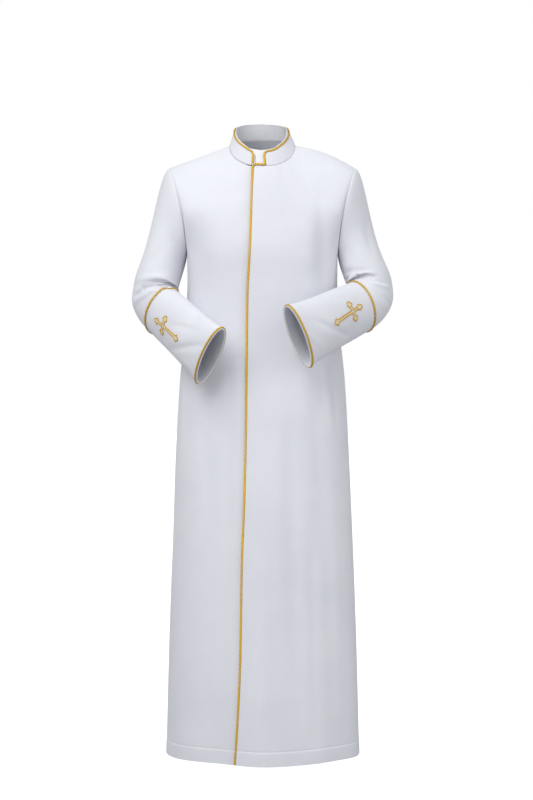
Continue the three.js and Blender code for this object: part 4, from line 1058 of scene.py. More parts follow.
@dataclass(frozen=True)
class ArmForm:
    """The form of one sleeve: a bent arm's path and ovals round it."""

    side: int
    top: tuple[float, float, float]
    elbow: tuple[float, float, float]
    wrist: tuple[float, float, float]
    cross_around: float
    cross_tilt: float
    front_creases: Creases
    back_creases: Creases
    elbow_radius: float = 70.0
    piped_seam: float = 0.385
    cuff_slant: float = 8.0
    start: float = 140.0
    rings: Table = Table(
        ("share", "long", "short", "turn"),
        (
            (0, 72, 53, 48),
            (0.16, 69, 55, 38),
            (0.26, 62, 57, 26),
            (0.385, 63, 45, 22),
            (0.55, 67, 40, 22),
            (0.8, 71, 34, 22),
            (1, 79, 25.5, 23),
        ),
    )
    # share, around, half length along the arm as a share, half width in degrees, outward depth
    folds: tuple[tuple[float, ...], ...] = (
        (0.215, 0, 0.022, 60, -5),
        (0.16, 14, 0.03, 45, 6),
        (0.27, -8, 0.025, 50, 4),
        (0.2, 122, 0.05, 30, -5),
        (0.27, 190, 0.07, 45, -2),
        (0.62, 150, 0.12, 26, -5),
        (0.78, 118, 0.09, 24, 4),
    )

    @property
    def word(self) -> str:
        """Which sleeve this is."""
        return "left" if self.side > 0 else "right"

    def _lines(self) -> tuple[np.ndarray, np.ndarray, np.ndarray, float]:
        """Directions down and forward, the axis of the bend, and the bend itself."""
        top, elbow, wrist = (np.array(p, float) for p in (self.top, self.elbow, self.wrist))
        down, forward = unit(elbow - top), unit(wrist - elbow)
        return down, forward, unit(np.cross(down, forward)), float(np.arccos(down @ forward))

    def _lengths(self) -> tuple[float, float, float]:
        """Length above the bend, of the whole path, and of the bend's arc."""
        top, elbow, wrist = (np.array(p, float) for p in (self.top, self.elbow, self.wrist))
        bend = self._lines()[3]
        tangent = self.elbow_radius * math.tan(bend / 2)
        upper = float(np.linalg.norm(elbow - top)) - tangent
        arc = self.elbow_radius * bend
        return upper, upper + arc + float(np.linalg.norm(wrist - elbow)) - tangent, arc

    @property
    def length(self) -> float:
        """Length of the path."""
        return self._lengths()[1]

    def path(self, share: np.ndarray) -> tuple[np.ndarray, np.ndarray, np.ndarray, np.ndarray]:
        """The path at a share of its length: straight, an arc at the elbow, straight again.

        Returns:
            Its middle, its direction, the direction of the elbow's crook, and the way out sideways.
        """
        down, _, axis, bend = self._lines()
        upper, length, arc = self._lengths()
        centre = np.array(self.top, float) + down * upper + np.cross(axis, down) * self.elbow_radius
        distance = np.asarray(share, float) * length
        turn = np.clip((distance - upper) / self.elbow_radius, 0, bend)[..., None]
        tangent = down * np.cos(turn) + np.cross(axis, down) * np.sin(turn)
        crook = np.cross(np.broadcast_to(axis, tangent.shape), tangent)
        beyond = np.minimum(distance - upper, 0) + np.maximum(distance - upper - arc, 0)
        middle = centre - crook * self.elbow_radius + tangent * beyond[..., None]
        return middle, tangent, crook, np.broadcast_to(-self.side * axis, tangent.shape)

    def point(self, share: np.ndarray, around: np.ndarray) -> np.ndarray:
        """A point of the outside: an oval turned from the crook, widened by its large folds.

        Args:
            share: place along the arm.
            around: degrees from the crook of the elbow.
        Returns:
            Points on the outside.
        """
        share, around = np.broadcast_arrays(np.asarray(share, float), np.asarray(around, float))
        middle, tangent, crook, outer = self.path(share)
        turn = self.rings.read(share, "turn")
        long, short = self.rings.read(share, "long"), self.rings.read(share, "short")
        depth = sum(
            fold_depth * bell(share - at, half_length) * bell(turn_between(around, at_turn), half_turn)
            for at, at_turn, half_length, half_turn, fold_depth in self.folds
        )
        spread = 1 + depth / ((long + short) / 2)
        along = around - turn
        c, s = long * cosine(along) * spread, short * sine(along) * spread
        slant = self.cuff_slant * smoothstep(share, self.piped_seam, 1) * cosine(along)
        return (
            middle
            + crook * (c * cosine(turn) - s * sine(turn))[..., None]
            + outer * (c * sine(turn) + s * cosine(turn))[..., None]
            + tangent * slant[..., None]
        )

    def inward(self, share: np.ndarray, around: np.ndarray) -> np.ndarray:
        """The inward direction of the cloth: square to its ring and level with it."""
        middle, tangent, _, _ = self.path(share)
        point = self.point(share, around)
        along = self.point(share, np.asarray(around) + 2) - self.point(share, np.asarray(around) - 2)
        inward = unit(np.cross(along, tangent))
        flip = np.where(np.einsum("...k,...k->...", inward, middle - point) < 0, -1.0, 1.0)
        return inward * flip[..., None]

    def pressed(self, points: np.ndarray, inward: np.ndarray) -> np.ndarray:
        """Presses the creases into points of the outside.

        The creases are drawn in (x, z), once for cloth that faces forward and once for cloth that
        faces back, and fade out as it turns edge-on.

        Args:
            points: on the outside.
            inward: the inward direction at each.
        Returns:
            The points, moved in or out.
        """
        x, z = points[..., 0], points[..., 2]
        depth = smoothstep(inward[..., 1], 0.05, 0.5) * self.front_creases.depth(x, z)
        depth = depth + smoothstep(-inward[..., 1], 0.05, 0.5) * self.back_creases.depth(x, z)
        return points - inward * depth[..., None]

    def raised(self, share: np.ndarray, around: np.ndarray, lift: float | np.ndarray) -> np.ndarray:
        """A point off the creased outside, lifted away from it."""
        inward = self.inward(share, around)
        lift = np.asarray(lift, float)[..., None]
        return self.pressed(self.point(share, around), inward) - inward * lift


@dataclass
class Sleeve:
    """One sleeve with its cuff panel and piping."""

    arm: ArmForm
    body: BodyPanels
    wardrobe: Wardrobe
    columns: int = 144
    head_rows: int = 26
    sleeve_rows: int = 76
    cuff_rows: int = 92
    seam_dip: float = 0.9
    seam_width: float = 3.0
    armhole_calm: float = 14.0
    facing_depth: float = 36.0
    facing_thickness: float = 0.6
    facing_step: float = 0.6
    cord_from_edge: float = 3.8
    cord_lift: float = 0.3
    cord_columns: int = 240
    head_crowding: float = 1.3
    sleeve_crowding: float = 0.5
    cuff_crowding: float = 0.6
    # sideways and down, at the underarm and at the shoulder tip
    leaving_sideways: tuple[float, float] = (0.35, 0.93)
    leaving_down: tuple[float, float] = (0.94, 0.37)
    leaving_forward: float = 0.15
    armhole_hold: float = 0.12
    ring_hold: float = 0.42
    cord: CordProfile = CordProfile()
    pieces: dict[str, bpy.types.Object] = field(default_factory=dict)

    def head(self, angle: np.ndarray, share: np.ndarray) -> np.ndarray:
        """The sleeve head: a cubic curve from the armhole's edge to the first ring.

        Args:
            angle: place round the armhole, 0 at the shoulder tip.
            share: 0 at the armhole, 1 at the ring.
        Returns:
            Points on the outside.
        """
        side = self.arm.side
        edge = self.body.form.armhole(angle) * np.array([side, 1, 1])
        rise = (1 + cosine(angle)) / 2
        sideways, down = mix(*self.leaving_sideways, rise), mix(*self.leaving_down, rise)
        leaving = unit(stack(side * sideways, -self.leaving_forward * sine(angle), -down))
        edge = edge + leaving * SEAM_GAP
        ring = self.arm.point(np.zeros_like(angle), self.arm.start - angle)
        reach = np.linalg.norm(edge - ring, axis=-1, keepdims=True)
        tangent = self.arm.path(np.array(0.0))[1]
        a, b = edge + leaving * self.armhole_hold * reach, ring - tangent * self.ring_hold * reach
        t = share[..., None]
        return edge * (1 - t) ** 3 + 3 * a * t * (1 - t) ** 2 + 3 * b * t * t * (1 - t) + ring * t**3

    def _sunk_at_ends(self, grid: np.ndarray, inward: np.ndarray) -> np.ndarray:
        """Creases the cloth and dips it by seam_dip * exp(-distance / seam_width) towards its end rows.

        The creases come in as 1 - exp(-distance / armhole_calm) from the armhole.
        """
        from_start = np.linalg.norm(grid - grid[:1], axis=-1)
        from_end = np.linalg.norm(grid - grid[-1:], axis=-1)
        sink = self.seam_dip * (np.exp(-from_start / self.seam_width) + np.exp(-from_end / self.seam_width))
        creased = (1 - np.exp(-from_start / self.armhole_calm))[..., None]
        return mix(grid, self.arm.pressed(grid, inward), creased) + inward * sink[..., None]

    def build(self) -> None:
        """Builds the sleeve, the cuff and their piping, and dresses them."""
        word, length = self.arm.word, self.arm.length
        angles = np.linspace(0, 360, self.columns, endpoint=False)
        half_gap = SEAM_GAP / 2 / length
        head_shares = np.linspace(0, 1, self.head_rows, endpoint=False) ** self.head_crowding
        head = self.head(*np.broadcast_arrays(angles[None, :], head_shares[:, None]))
        rows = crowded(self.sleeve_rows, self.sleeve_crowding)[::-1]
        shares = self.arm.piped_seam - half_gap - self.arm.piped_seam * rows
        shares[0] = 0
        lower = self.arm.point(shares[:, None], self.arm.start - angles[None, :])
        grid = np.concatenate([head, lower])
        inward = inward_directions(grid, True)
        inward[0] = self.body.armhole_inward(angles) * np.array([self.arm.side, 1, 1])
        inward[-1] = self.arm.inward(np.full(angles.shape, self.arm.piped_seam), self.arm.start - angles)
        sleeve = cloth_wall(f"cloth_sleeve_{word}", self._sunk_at_ends(grid, inward), inward, CLOTH, True)

        start = self.arm.piped_seam + half_gap
        shares = mix(start, 1.0, crowded(self.cuff_rows, self.cuff_crowding))
        grid = self.arm.point(shares[:, None], self.arm.start - angles[None, :])
        inward = inward_directions(grid, True)
        inward[0] = self.arm.inward(np.full(angles.shape, self.arm.piped_seam), self.arm.start - angles)
        from_edge = (1 - shares) * length
        is_facing = smoothstep(self.facing_depth - from_edge, -self.facing_step, self.facing_step)
        thickness = CLOTH + self.facing_thickness * is_facing
        cuff = cloth_wall(f"cloth_cuff_{word}", self.arm.pressed(grid, inward), inward, thickness, True)

        seam_cord = self._ring_cord(self.arm.piped_seam, f"cord_sleeve_{word}")
        edge_cord = self._ring_cord(1 - self.cord_from_edge / length, f"cord_cuff_{word}")
        suiting, gold = self.wardrobe.suiting, self.wardrobe.cord
        self.pieces["sleeve"] = dress(sleeve, f"sleeve_{word}", suiting)
        self.pieces["cuff"] = dress(cuff, f"cuff_{word}", suiting)
        self.pieces["seam_cord"] = dress(seam_cord, f"piping_sleeve_{word}", gold)
        self.pieces["edge_cord"] = dress(edge_cord, f"piping_cuff_{word}", gold)

    def _ring_cord(self, share: float, name: str) -> bpy.types.Object:
        """A ring of cord round the arm, on the cloth."""
        around = self.arm.start - np.linspace(0, 360, self.cord_columns, endpoint=False)
        shares = np.full(around.shape, share)
        centre = self.arm.raised(shares, around, self.cord.half_height + self.cord_lift)
        return self.cord.along(name, centre, -self.arm.inward(shares, around), True)


# ---------------------------------------------------------------- embroidered crosses


@dataclass
class EmbroideredCross:
    """A budded cross: a pale satin-stitched core inside a gold strand."""

    arm: ArmForm
    wardrobe: Wardrobe
    centre: float = 68.0
    head: float = 34.0
    foot: float = 70.0
    reach: float = 27.0
    half_width: float = 3.0
    crotch: float = 0.6
    # half of a budded end: back from its tip, and out from its middle line
    bud: tuple[tuple[float, float], ...] = (
        (14.0, 3.0),
        (12.4, 5.0),
        (10.6, 7.7),
        (8.8, 7.8),
        (7.6, 5.6),
        (5.8, 4.6),
        (2.8, 3.8),
        (0.0, 0.0),
    )
    spine_end: float = 6.0
    outline_step: float = 0.5
    smoothing: int = 2
    strand_lift: float = 0.75
    core_inset: float = 0.6
    core_low: float = 0.2
    core_rise: float = 0.7
    core_thickness: float = 0.15
    core_rings: tuple[float, ...] = (0.0, 0.12, 0.3, 0.55, 0.8, 1.0)
    strand: CordProfile = CordProfile(1.45, 0.62, 2, 0.12, 2.6, 0.5, 9)

    def outline(self, inset: float) -> np.ndarray:
        """The outline in flat millimetres, four budded ends round the crossing.

        The corners are rounded by passes of a (1, 2, 1) mean over evenly spaced points, and each point
        then moves inward, square to the outline, by the inset.

        Args:
            inset: how far inside the true outline it runs.
        Returns:
            n x 2 points, u towards the cuff and v round the sleeve.
        """
        back, out = np.array(self.bud).T

        def end(reach: float) -> np.ndarray:
            """One end of the cross, pointing along +u."""
            u = np.concatenate([[self.half_width + self.crotch], reach - back])
            side = np.stack([u, np.concatenate([[self.half_width], out])], axis=-1)
            return np.concatenate([side * [1, -1], side[-2::-1]])

        ends = []
        turns = ((1, 0), (0, 1), (-1, 0), (0, -1))
        for (c, s), reach in zip(turns, (self.foot, self.reach, self.head, self.reach)):
            flat = end(reach)
            ends.append(np.stack([flat[:, 0] * c - flat[:, 1] * s, flat[:, 0] * s + flat[:, 1] * c], axis=-1))
        corners = np.concatenate([*ends, ends[0][:1]])
        lengths = np.concatenate([[0.0], np.cumsum(np.linalg.norm(np.diff(corners, axis=0), axis=1))])
        places = np.linspace(0, lengths[-1], int(lengths[-1] / self.outline_step), endpoint=False)
        even = np.stack([np.interp(places, lengths, corners[:, k]) for k in range(2)], axis=-1)
        for _ in range(self.smoothing):
            even = (np.roll(even, 1, axis=0) + 2 * even + np.roll(even, -1, axis=0)) / 4
        along = unit(np.roll(even, -1, axis=0) - np.roll(even, 1, axis=0))
        return even + np.stack([-along[:, 1], along[:, 0]], axis=-1) * inset

    def place(self, flat: np.ndarray, lift: float | np.ndarray) -> tuple[np.ndarray, np.ndarray]:
        """Lays flat points on the cuff, turned by the cross's tilt and lifted off it.

        Returns:
            The points and the outward directions there.
        """
        share = self.arm.piped_seam + self.centre / self.arm.length
        around = self.arm.cross_around
        degree = np.linalg.norm(self.arm.point(share, around + 1) - self.arm.point(share, around))
        c, s = cosine(self.arm.cross_tilt), sine(self.arm.cross_tilt)
        shares = share + (flat[..., 0] * c - flat[..., 1] * s) / self.arm.length
        arounds = around + (flat[..., 0] * s + flat[..., 1] * c) / degree
        return self.arm.raised(shares, arounds, lift), -self.arm.inward(shares, arounds)

    def build(self) -> dict[str, bpy.types.Object]:
        """Builds the core and the strand.

        Returns:
            The pieces, with the strand standing for the solid.
        """
        word = self.arm.word
        outer, out = self.place(self.outline(0.0), self.strand_lift)
        strand = self.strand.along(f"thread_cross_{word}", outer, out, True)
        core = self._core(f"core_cross_{word}")
        return {
            "strand": dress(strand, f"cross_{word}", self.wardrobe.embroidery),
            "core": dress(core, None, self.wardrobe.core),
        }

    def _core(self, name: str) -> bpy.types.Object:
        """The satin-stitched ground: the outline drawn in to the cross's middle lines in rings.

        A ring at share t mixes the outline with its nearest point of the middle lines, and its
        height is core_low + core_rise * sqrt(1 - (1 - t)^2).

        Args:
            name: the object's name.
        Returns:
            The new object, closed underneath.
        """
        outline = self.outline(self.core_inset)
        spine_u = np.clip(outline[:, 0], -(self.head - self.spine_end), self.foot - self.spine_end)
        spine_v = np.clip(outline[:, 1], -(self.reach - self.spine_end), self.reach - self.spine_end)
        along = np.abs(outline[:, 1]) < np.abs(outline[:, 0])
        spine = np.stack([np.where(along, spine_u, 0), np.where(along, 0, spine_v)], axis=-1)
        shares = np.array(self.core_rings)[:, None, None]
        flat = mix(outline[None], spine[None], shares)
        height = self.core_low + self.core_rise * np.sqrt(1 - (1 - shares[..., 0]) ** 2)
        grid, out = self.place(flat, np.broadcast_to(height, flat.shape[:2]))
        return cloth_wall(name, grid, -out, self.core_thickness, True)


# ---------------------------------------------------------------- collar and front piping


@dataclass
class Collar:
    """The standing collar, its white tab insert and the piping of the collar and lap."""

    body: BodyPanels
    wardrobe: Wardrobe
    half_width: float = 68.5
    half_depth: float = 62.0
    y: float = -7.0
    centre: float = -2.0
    corner: float = 9.0
    lift: float = 0.8
    right_end: float = -26.5
    left_end: float = 10.0
    insert_thickness: float = 1.2
    insert_clearance: float = 0.9
    insert_above: float = 7.8
    insert_lift: float = 1.5
    insert_columns: int = 300
    insert_rows: int = 56
    insert_edge: tuple[float, float] = (0.35, 1.2)
    # depth and half width of the tab's seam and slit, and the heights where the slit comes and goes
    tab_seam: float = 7.5
    tab_seam_cut: tuple[float, float] = (0.45, 0.7)
    tab_slit_x: float = -18.6
    tab_slit_cut: tuple[float, float] = (5.0, 1.3)
    tab_slit_low: tuple[float, float] = (3, 8)
    tab_slit_high: tuple[float, float] = (20, 27)
    tab_fade: tuple[float, float] = (0.8, 0.86)
    insert_crowding: float = 0.3
    front_crowding: float = 0.6
    band_columns: int = 260
    band_rows: int = 15
    band_crowding: tuple[float, float] = (0.9, 0.7)
    base_dip: tuple[float, float] = (0.3, 2.5)
    cord_gap: float = 0.6
    lap_cord_gap: float = 0.3
    lap_cord_lift: float = 0.7
    collar_cord_lift: float = 0.2
    cord_ends_apart: float = 2.4
    upright_points: int = 8
    corner_points: int = 16
    top_points: int = 120
    skirt_cord_points: int = 260
    chest_cord_levels: tuple[float, float, int] = (-268, -38, 60)
    lap_top_x: float = -21.0
    lap_bend: tuple[float, float, int] = (10.0, 90.0, 9)
    # how far the lap's cord turns outward with x, and upward above the given height
    lap_turn: float = 0.002
    lap_rise: float = 0.3
    lap_rise_above: float = -230.0
    collar_rise: float = 0.1
    lap_corner: float = 8.0
    upright_start: tuple[float, float] = (0.12, 0.2)
    cord: CordProfile = CordProfile()
    tops: Table = Table(
        ("angle", "z"),
        (
            (0, -27),
            (25, -22),
            (40, -12),
            (57, 0),
            (75, 14),
            (90, 27),
            (110, 38),
            (140, 46),
            (180, 50),
        ),
    )

    def point(self, angle: np.ndarray, height: np.ndarray) -> np.ndarray:
        """A point of the outside: height 0 on the neckline, 1 on the narrower top oval."""
        away = np.abs(turn_between(angle, 0))
        base = self.body.form.neck(angle) + np.array([0, 0, self.lift])
        x = self.centre + self.half_width * sine(angle)
        y = self.y - self.half_depth * cosine(angle)
        top = stack(x, y, self.tops.read(away, "z"))
        return mix(base, top, np.asarray(height)[..., None])

    def height(self, angle: np.ndarray) -> np.ndarray:
        """Height of the collar at an angle."""
        zero = np.zeros(np.shape(angle))
        return np.linalg.norm(self.point(angle, zero) - self.point(angle, zero + 1), axis=-1)

    def angle_at_x(self, x: float) -> float:
        """The angle at which the front of the neckline has a given x."""
        return math.degrees(math.asin(x / self.body.form.neck_half_width))

    def build_cloth(self) -> bpy.types.Object:
        """The collar band, its top corners rounded in quarter circles."""
        start, end = self.angle_at_x(self.left_end), 360 + self.angle_at_x(self.right_end)
        across, upward = self.band_crowding
        shares = crowded(self.band_columns, across)
        angles = mix(start, end, shares)
        from_end = np.minimum(shares, 1 - shares) * math.radians(end - start) * self.body.form.neck_half_depth
        inside = np.maximum(self.corner - from_end, 0)
        drop = self.corner - np.sqrt(np.maximum(self.corner**2 - inside**2, 0))
        cloth_share = 1 - drop / self.height(angles)
        heights = crowded(self.band_rows, upward)[:, None] * cloth_share[None, :]
        grid = self.point(np.broadcast_to(angles, heights.shape), heights)
        inward = inward_directions(grid, False)
        from_base = np.linalg.norm(grid - grid[:1], axis=-1)
        depth, width = self.base_dip
        grid = grid + inward * (depth * np.exp(-from_base / width))[..., None]
        return cloth_wall("cloth_collar", grid, inward, CLOTH, False)

    def build_insert(self) -> bpy.types.Object:
        """The insert: a ring inside the collar, with the tab's seam and its slit pressed into it.

        Each of them is depth * bell(distance, width) deep, with its depth and width in its own cut.
        """
        inset = CLOTH + self.insert_clearance
        around = np.arange(self.insert_columns) / self.insert_columns
        angles = 360 * (around - self.front_crowding * np.sin(2 * np.pi * around) / (2 * np.pi))
        height = self.height(angles)
        low, high = self.insert_lift / height, 1 + self.insert_above / height
        shares = mix(low[None, :], high[None, :], crowded(self.insert_rows, self.insert_crowding)[:, None])
        grid = self.point(np.broadcast_to(angles, shares.shape), shares)
        inward = inward_directions(grid, True)
        is_front = smoothstep(cosine(angles), *self.tab_fade)[None, :]
        up = shares * height
        seam_depth, seam_width = self.tab_seam_cut
        slit_depth, slit_width = self.tab_slit_cut
        edge_depth, edge_width = self.insert_edge
        slit_fade = smoothstep(up, *self.tab_slit_low) * (1 - smoothstep(up, *self.tab_slit_high))
        seam = seam_depth * bell(up - self.tab_seam, seam_width)
        slit = slit_depth * bell(grid[..., 0] - self.tab_slit_x, slit_width) * slit_fade
        edge = edge_depth * np.exp(-(high - shares) * height / edge_width)
        grid = grid + inward * (inset + edge + is_front * (seam + slit))[..., None]
        return cloth_wall("cloth_insert", grid, inward, self.insert_thickness, True)

    def collar_cord(self, is_left: bool) -> tuple[np.ndarray, np.ndarray]:
        """The piping's path on one half of the collar: up its end, round the corner, along the top.

        Returns:
            Points of the path and outward directions.
        """
        reach = self.cord.half_width + self.cord_gap
        end = self.angle_at_x(self.left_end if is_left else self.right_end)
        towards_gap = -1 if is_left else 1
        degree = math.radians(1) * self.body.form.neck_half_depth
        corner_height = float(self.height(np.array(end - towards_gap * self.corner / degree))) - self.corner
        low = self.upright_start[0 if is_left else 1] * corner_height
        upright = np.linspace(low, corner_height, self.upright_points, endpoint=False)
        turn = np.linspace(0, 90, self.corner_points)
        radius = self.corner + reach
        half_round = 180 * degree + towards_gap * end * degree - self.cord_gap
        top = np.linspace(self.corner, half_round, self.top_points + 1)[1:]
        ends = np.full(self.upright_points, -reach)
        distance = np.concatenate([ends, self.corner - radius * cosine(turn), top])
        angle = end - towards_gap * distance / degree
        full = self.height(angle) + reach
        height = np.concatenate([upright, corner_height + radius * sine(turn), full[-len(top) :]])
        out = unit(stack(sine(angle), -cosine(angle), self.collar_rise))
        return self.point(angle, height / self.height(angle)) + out * self.collar_cord_lift, out

    def lap_cord(self) -> np.ndarray:
        """The piping's path from the hem up the lap edge, round its corner to the collar's left end."""
        form = self.body.form
        reach = self.cord.half_width + self.lap_cord_gap
        skirt = np.linspace(HEM_LEVEL + 1, UNDERARM_LEVEL, self.skirt_cord_points)
        levels = np.concatenate([skirt, np.linspace(*self.chest_cord_levels)])
        angle = form.angle_at_x(form.edge_x(levels) - reach, levels)
        front = form.point(angle, levels)
        neck_end, start = self.angle_at_x(self.left_end), self.angle_at_x(self.lap_top_x - reach)
        degree = math.radians(1) * form.neck_half_width
        turn = np.linspace(*self.lap_bend)
        bend = form.neck(start + self.lap_corner * (1 - cosine(turn)) / degree)
        bend[:, 2] += reach + self.cord_gap - self.lap_corner * (1 - sine(turn))
        last_angle = neck_end - (reach + self.cord_ends_apart) / degree
        last = form.neck(mix(start + self.lap_corner / degree, last_angle, np.array([0.5, 1.0])))
        last[:, 2] += reach + self.cord_gap
        return np.concatenate([front, bend, last])

    def build(self) -> dict[str, bpy.types.Object]:
        """Builds and dresses the collar, the insert and the two cords.

        Returns:
            The pieces by name.
        """
        lap = self.lap_cord()
        rise = np.where(lap[:, 2] > self.lap_rise_above, self.lap_rise, 0.0)
        out = unit(stack(lap[:, 0] * self.lap_turn, -1.0, rise))
        left, left_out = self.collar_cord(True)
        right, right_out = self.collar_cord(False)
        raised = lap + out * self.lap_cord_lift
        path, directions = smooth_path(np.concatenate([raised, left]), np.concatenate([out, left_out]))
        front = self.cord.along("cord_front", path, directions, False)
        other = self.cord.along("cord_collar_right", *smooth_path(right, right_out), False)
        suiting, gold = self.wardrobe.suiting, self.wardrobe.cord
        return {
            "collar": dress(self.build_cloth(), "collar", suiting),
            "insert": dress(self.build_insert(), "collar_insert", self.wardrobe.insert),
            "front": dress(front, "piping_front", gold),
            "other": dress(other, "piping_collar_right", gold),
        }


def smooth_path(path: np.ndarray, out: np.ndarray) -> tuple[np.ndarray, np.ndarray]:
    """Spaces a path evenly and rounds its corners with PATH_PASSES passes of a (1, 2, 1) mean.

    Args:
        path: n x 3 points.
        out: n x 3 directions.
    Returns:
        The path and directions, one point each PATH_STEP.
    """
    lengths = np.concatenate([[0.0], np.cumsum(np.linalg.norm(np.diff(path, axis=0), axis=1))])
    places = np.linspace(0, lengths[-1], int(lengths[-1] / PATH_STEP) + 2)
    both = np.concatenate([path, out], axis=1)
    even = np.stack([np.interp(places, lengths, both[:, k]) for k in range(6)], axis=-1)
    for _ in range(PATH_PASSES):
        even[1:-1] = (even[:-2] + 2 * even[1:-1] + even[2:]) / 4
    return even[:, :3], unit(even[:, 3:])


# ---------------------------------------------------------------- the studio


@dataclass(frozen=True)
class Lamp:
    """A square soft lamp: its place, the point that it looks at, its side in metres and its watts."""

    name: str
    at: tuple[float, float, float]
    towards: tuple[float, float, float]
    side: float
    power: float

    def build(self) -> None:
        """Hangs the lamp in the scene."""
        lamp = bpy.data.lights.new(self.name, "AREA")
        lamp.size = self.side
        lamp.energy = self.power
        made = bpy.data.objects.new(self.name, lamp)
        made.location = self.at
        direction = Vector(self.towards) - Vector(self.at)
        made.rotation_euler = direction.to_track_quat("-Z", "Y").to_euler()
        bpy.context.scene.collection.objects.link(made)


@dataclass
class Studio:
    """A pale floor, soft light from the front left and the camera."""

    camera_at: tuple[float, float, float] = (0.010, -5.7, -0.625)
    lens: float = 104.7
    floor_level: float = -1.557
    air: float = 0.60
    floor_radius: float = 60.0
    floor_sides: int = 64
    lamps: tuple[Lamp, ...] = (
        Lamp("key", (-1.2, -2.2, 1.5), (0, 0, -0.4), 2.3, 58),
        Lamp("fill", (3.4, -2.4, 0.5), (0, 0, -0.5), 3.0, 34),
    )

    def build(self) -> None:
        """Builds the floor, the air's light, the lamps and the camera."""
        self._floor()
        self._air()
        for lamp in self.lamps:
            lamp.build()
        camera = bpy.data.objects.new("camera", bpy.data.cameras.new("camera"))
        camera.data.lens = self.lens
        camera.location = self.camera_at
        camera.rotation_euler = (math.pi / 2, 0, 0)
        bpy.context.scene.collection.objects.link(camera)
        bpy.context.scene.camera = camera
        bpy.context.scene.view_settings.view_transform = "Standard"

    def _floor(self) -> None:
        """A flat round floor."""
        turn = np.linspace(0, 2 * np.pi, self.floor_sides + 1)[:-1]
        rim = stack(self.floor_radius * np.cos(turn), self.floor_radius * np.sin(turn), self.floor_level)
        mesh = bpy.data.meshes.new("floor")
        mesh.from_pydata(rim.tolist(), [], [list(range(self.floor_sides))])
        mesh.materials.append(FloorFinish().material())
        floor = bpy.data.objects.new("floor", mesh)
        bpy.context.scene.collection.objects.link(floor)

    def _air(self) -> None:
        """Even light from all round, and a white air to look through."""
        world = bpy.data.worlds.new("studio_air")
        world.use_nodes = True
        tree = world.node_tree
        tree.nodes.clear()
        light, seen = (tree.nodes.new("ShaderNodeBackground") for _ in range(2))
        light.inputs["Color"].default_value = (0.97, 0.98, 1.0, 1)
        light.inputs["Strength"].default_value = self.air
        seen.inputs["Color"].default_value = (1, 1, 1, 1)
        seen.inputs["Strength"].default_value = 1.0
        rays, both = tree.nodes.new("ShaderNodeLightPath"), tree.nodes.new("ShaderNodeMixShader")
        output = tree.nodes.new("ShaderNodeOutputWorld")
        tree.links.new(rays.outputs["Is Camera Ray"], both.inputs[0])
        tree.links.new(light.outputs[0], both.inputs[1])
        tree.links.new(seen.outputs[0], both.inputs[2])
        tree.links.new(both.outputs[0], output.inputs["Surface"])
        bpy.context.scene.world = world


# ---------------------------------------------------------------- the whole garment

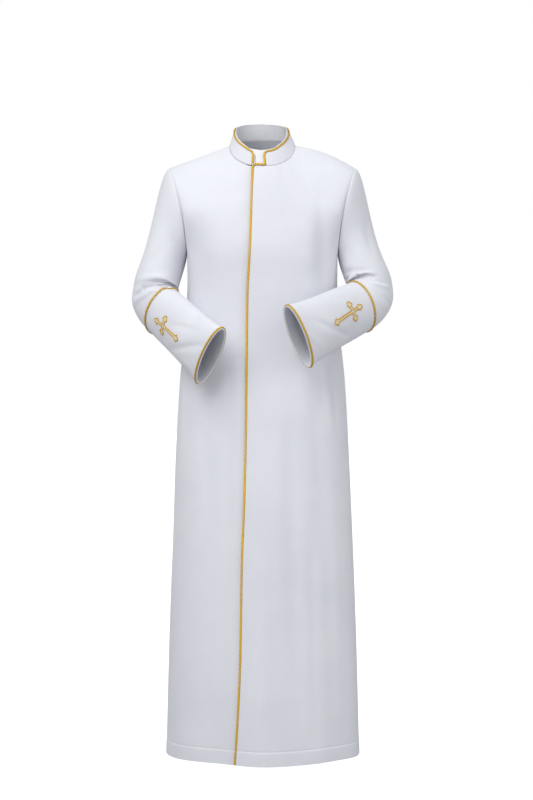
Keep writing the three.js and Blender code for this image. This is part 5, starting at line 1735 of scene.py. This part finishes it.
LEFT_ARM = ArmForm(
    side=1,
    top=(243, 0, -290),
    elbow=(277, -26, -378),
    wrist=(83, -226, -476),
    cross_around=107,
    cross_tilt=7,
    front_creases=Creases(
        (
            (181, -346, 206, -332, 4.5, -8),
            (206, -332, 227, -327, 4.5, -9),
            (227, -327, 252, -325, 4.5, -8),
            (252, -325, 273, -327, 4.5, -5),
            (266, -332, 299, -344, 4, -6),
            (270, -343, 303, -354, 4.5, 4.0),
            (266, -343, 315, -401, 4, -3.4),
            (258, -352, 292, -404, 5, 2.2),
            (206, -314, 262, -311, 7, -2.5),
            (183, -328, 215, -309, 8, -2.6),
            (252, -196, 267, -267, 9, -3.2),
            (225, -232, 240, -298, 10, 1.6),
            (124, -437, 200, -470, 8, -2.8),
            (151, -372, 197, -386, 6, -2.0),
            (136, -370, 151, -381, 4, -2.4),
            (107, -470, 141, -497, 7, 1.5),
            (225, -385, 240, -447, 7, -1.2),
        )
    ),
    back_creases=Creases(
        (
            (300, -372, 258, -420, 7, -2.6),
            (316, -344, 288, -328, 8, -2.2),
            (262, -250, 246, -306, 10, -2.8),
            (302, -236, 310, -318, 9, -1.8),
            (286, -352, 262, -372, 6, 1.8),
            (226, -462, 180, -492, 9, -2.4),
            (178, -438, 142, -470, 8, -1.6),
        )
    ),
)
RIGHT_ARM = ArmForm(
    side=-1,
    top=(-243, 0, -290),
    elbow=(-272, -18, -380),
    wrist=(-121, -213, -522),
    cross_around=118,
    cross_tilt=0,
    front_creases=Creases(
        (
            (-313, -374, -290, -354, 5, -9),
            (-290, -354, -256, -345, 5, -10),
            (-256, -345, -218, -352, 4.5, -8),
            (-218, -352, -190, -368, 4.5, -6),
            (-299, -334, -231, -328, 9, 4.5),
            (-308, -385, -270, -363, 6, 3.5),
            (-270, -363, -240, -358, 4, 3.0),
            (-266, -356, -246, -357, 3, -3.0),
            (-272, -291, -239, -257, 9, -1.6),
            (-221, -230, -196, -296, 8, -2.2),
            (-216, -503, -144, -496, 9, -3.0),
            (-224, -443, -154, -460, 8, -1.6),
            (-171, -438, -147, -418, 5, -2.6),
            (-156, -427, -132, -433, 6, 1.8),
            (-201, -525, -176, -544, 6, 1.4),
            (-267, -436, -247, -476, 7, -1.2),
        )
    ),
    back_creases=Creases(
        (
            (-304, -378, -266, -424, 7, -2.4),
            (-318, -350, -286, -334, 8, -2.4),
            (-258, -246, -244, -300, 10, -2.4),
            (-304, -228, -312, -306, 9, -2.0),
            (-240, -474, -196, -512, 9, -2.2),
            (-192, -452, -160, -486, 8, -1.8),
        )
    ),
)


def main() -> None:
    """Builds the garment and its studio in order."""
    logging.basicConfig(level=logging.INFO)
    wardrobe = Wardrobe()
    form = BodyForm()
    Studio().build()
    body = BodyPanels(form, wardrobe)
    panels = body.build()
    for node, piece in panels.items():
        dress(piece, node, wardrobe.suiting)
    sleeves = [Sleeve(arm, body, wardrobe) for arm in (LEFT_ARM, RIGHT_ARM)]
    for sleeve in sleeves:
        sleeve.build()
        EmbroideredCross(sleeve.arm, wardrobe).build()
    neck = Collar(body, wardrobe).build()


if __name__ == "__main__":
    main()
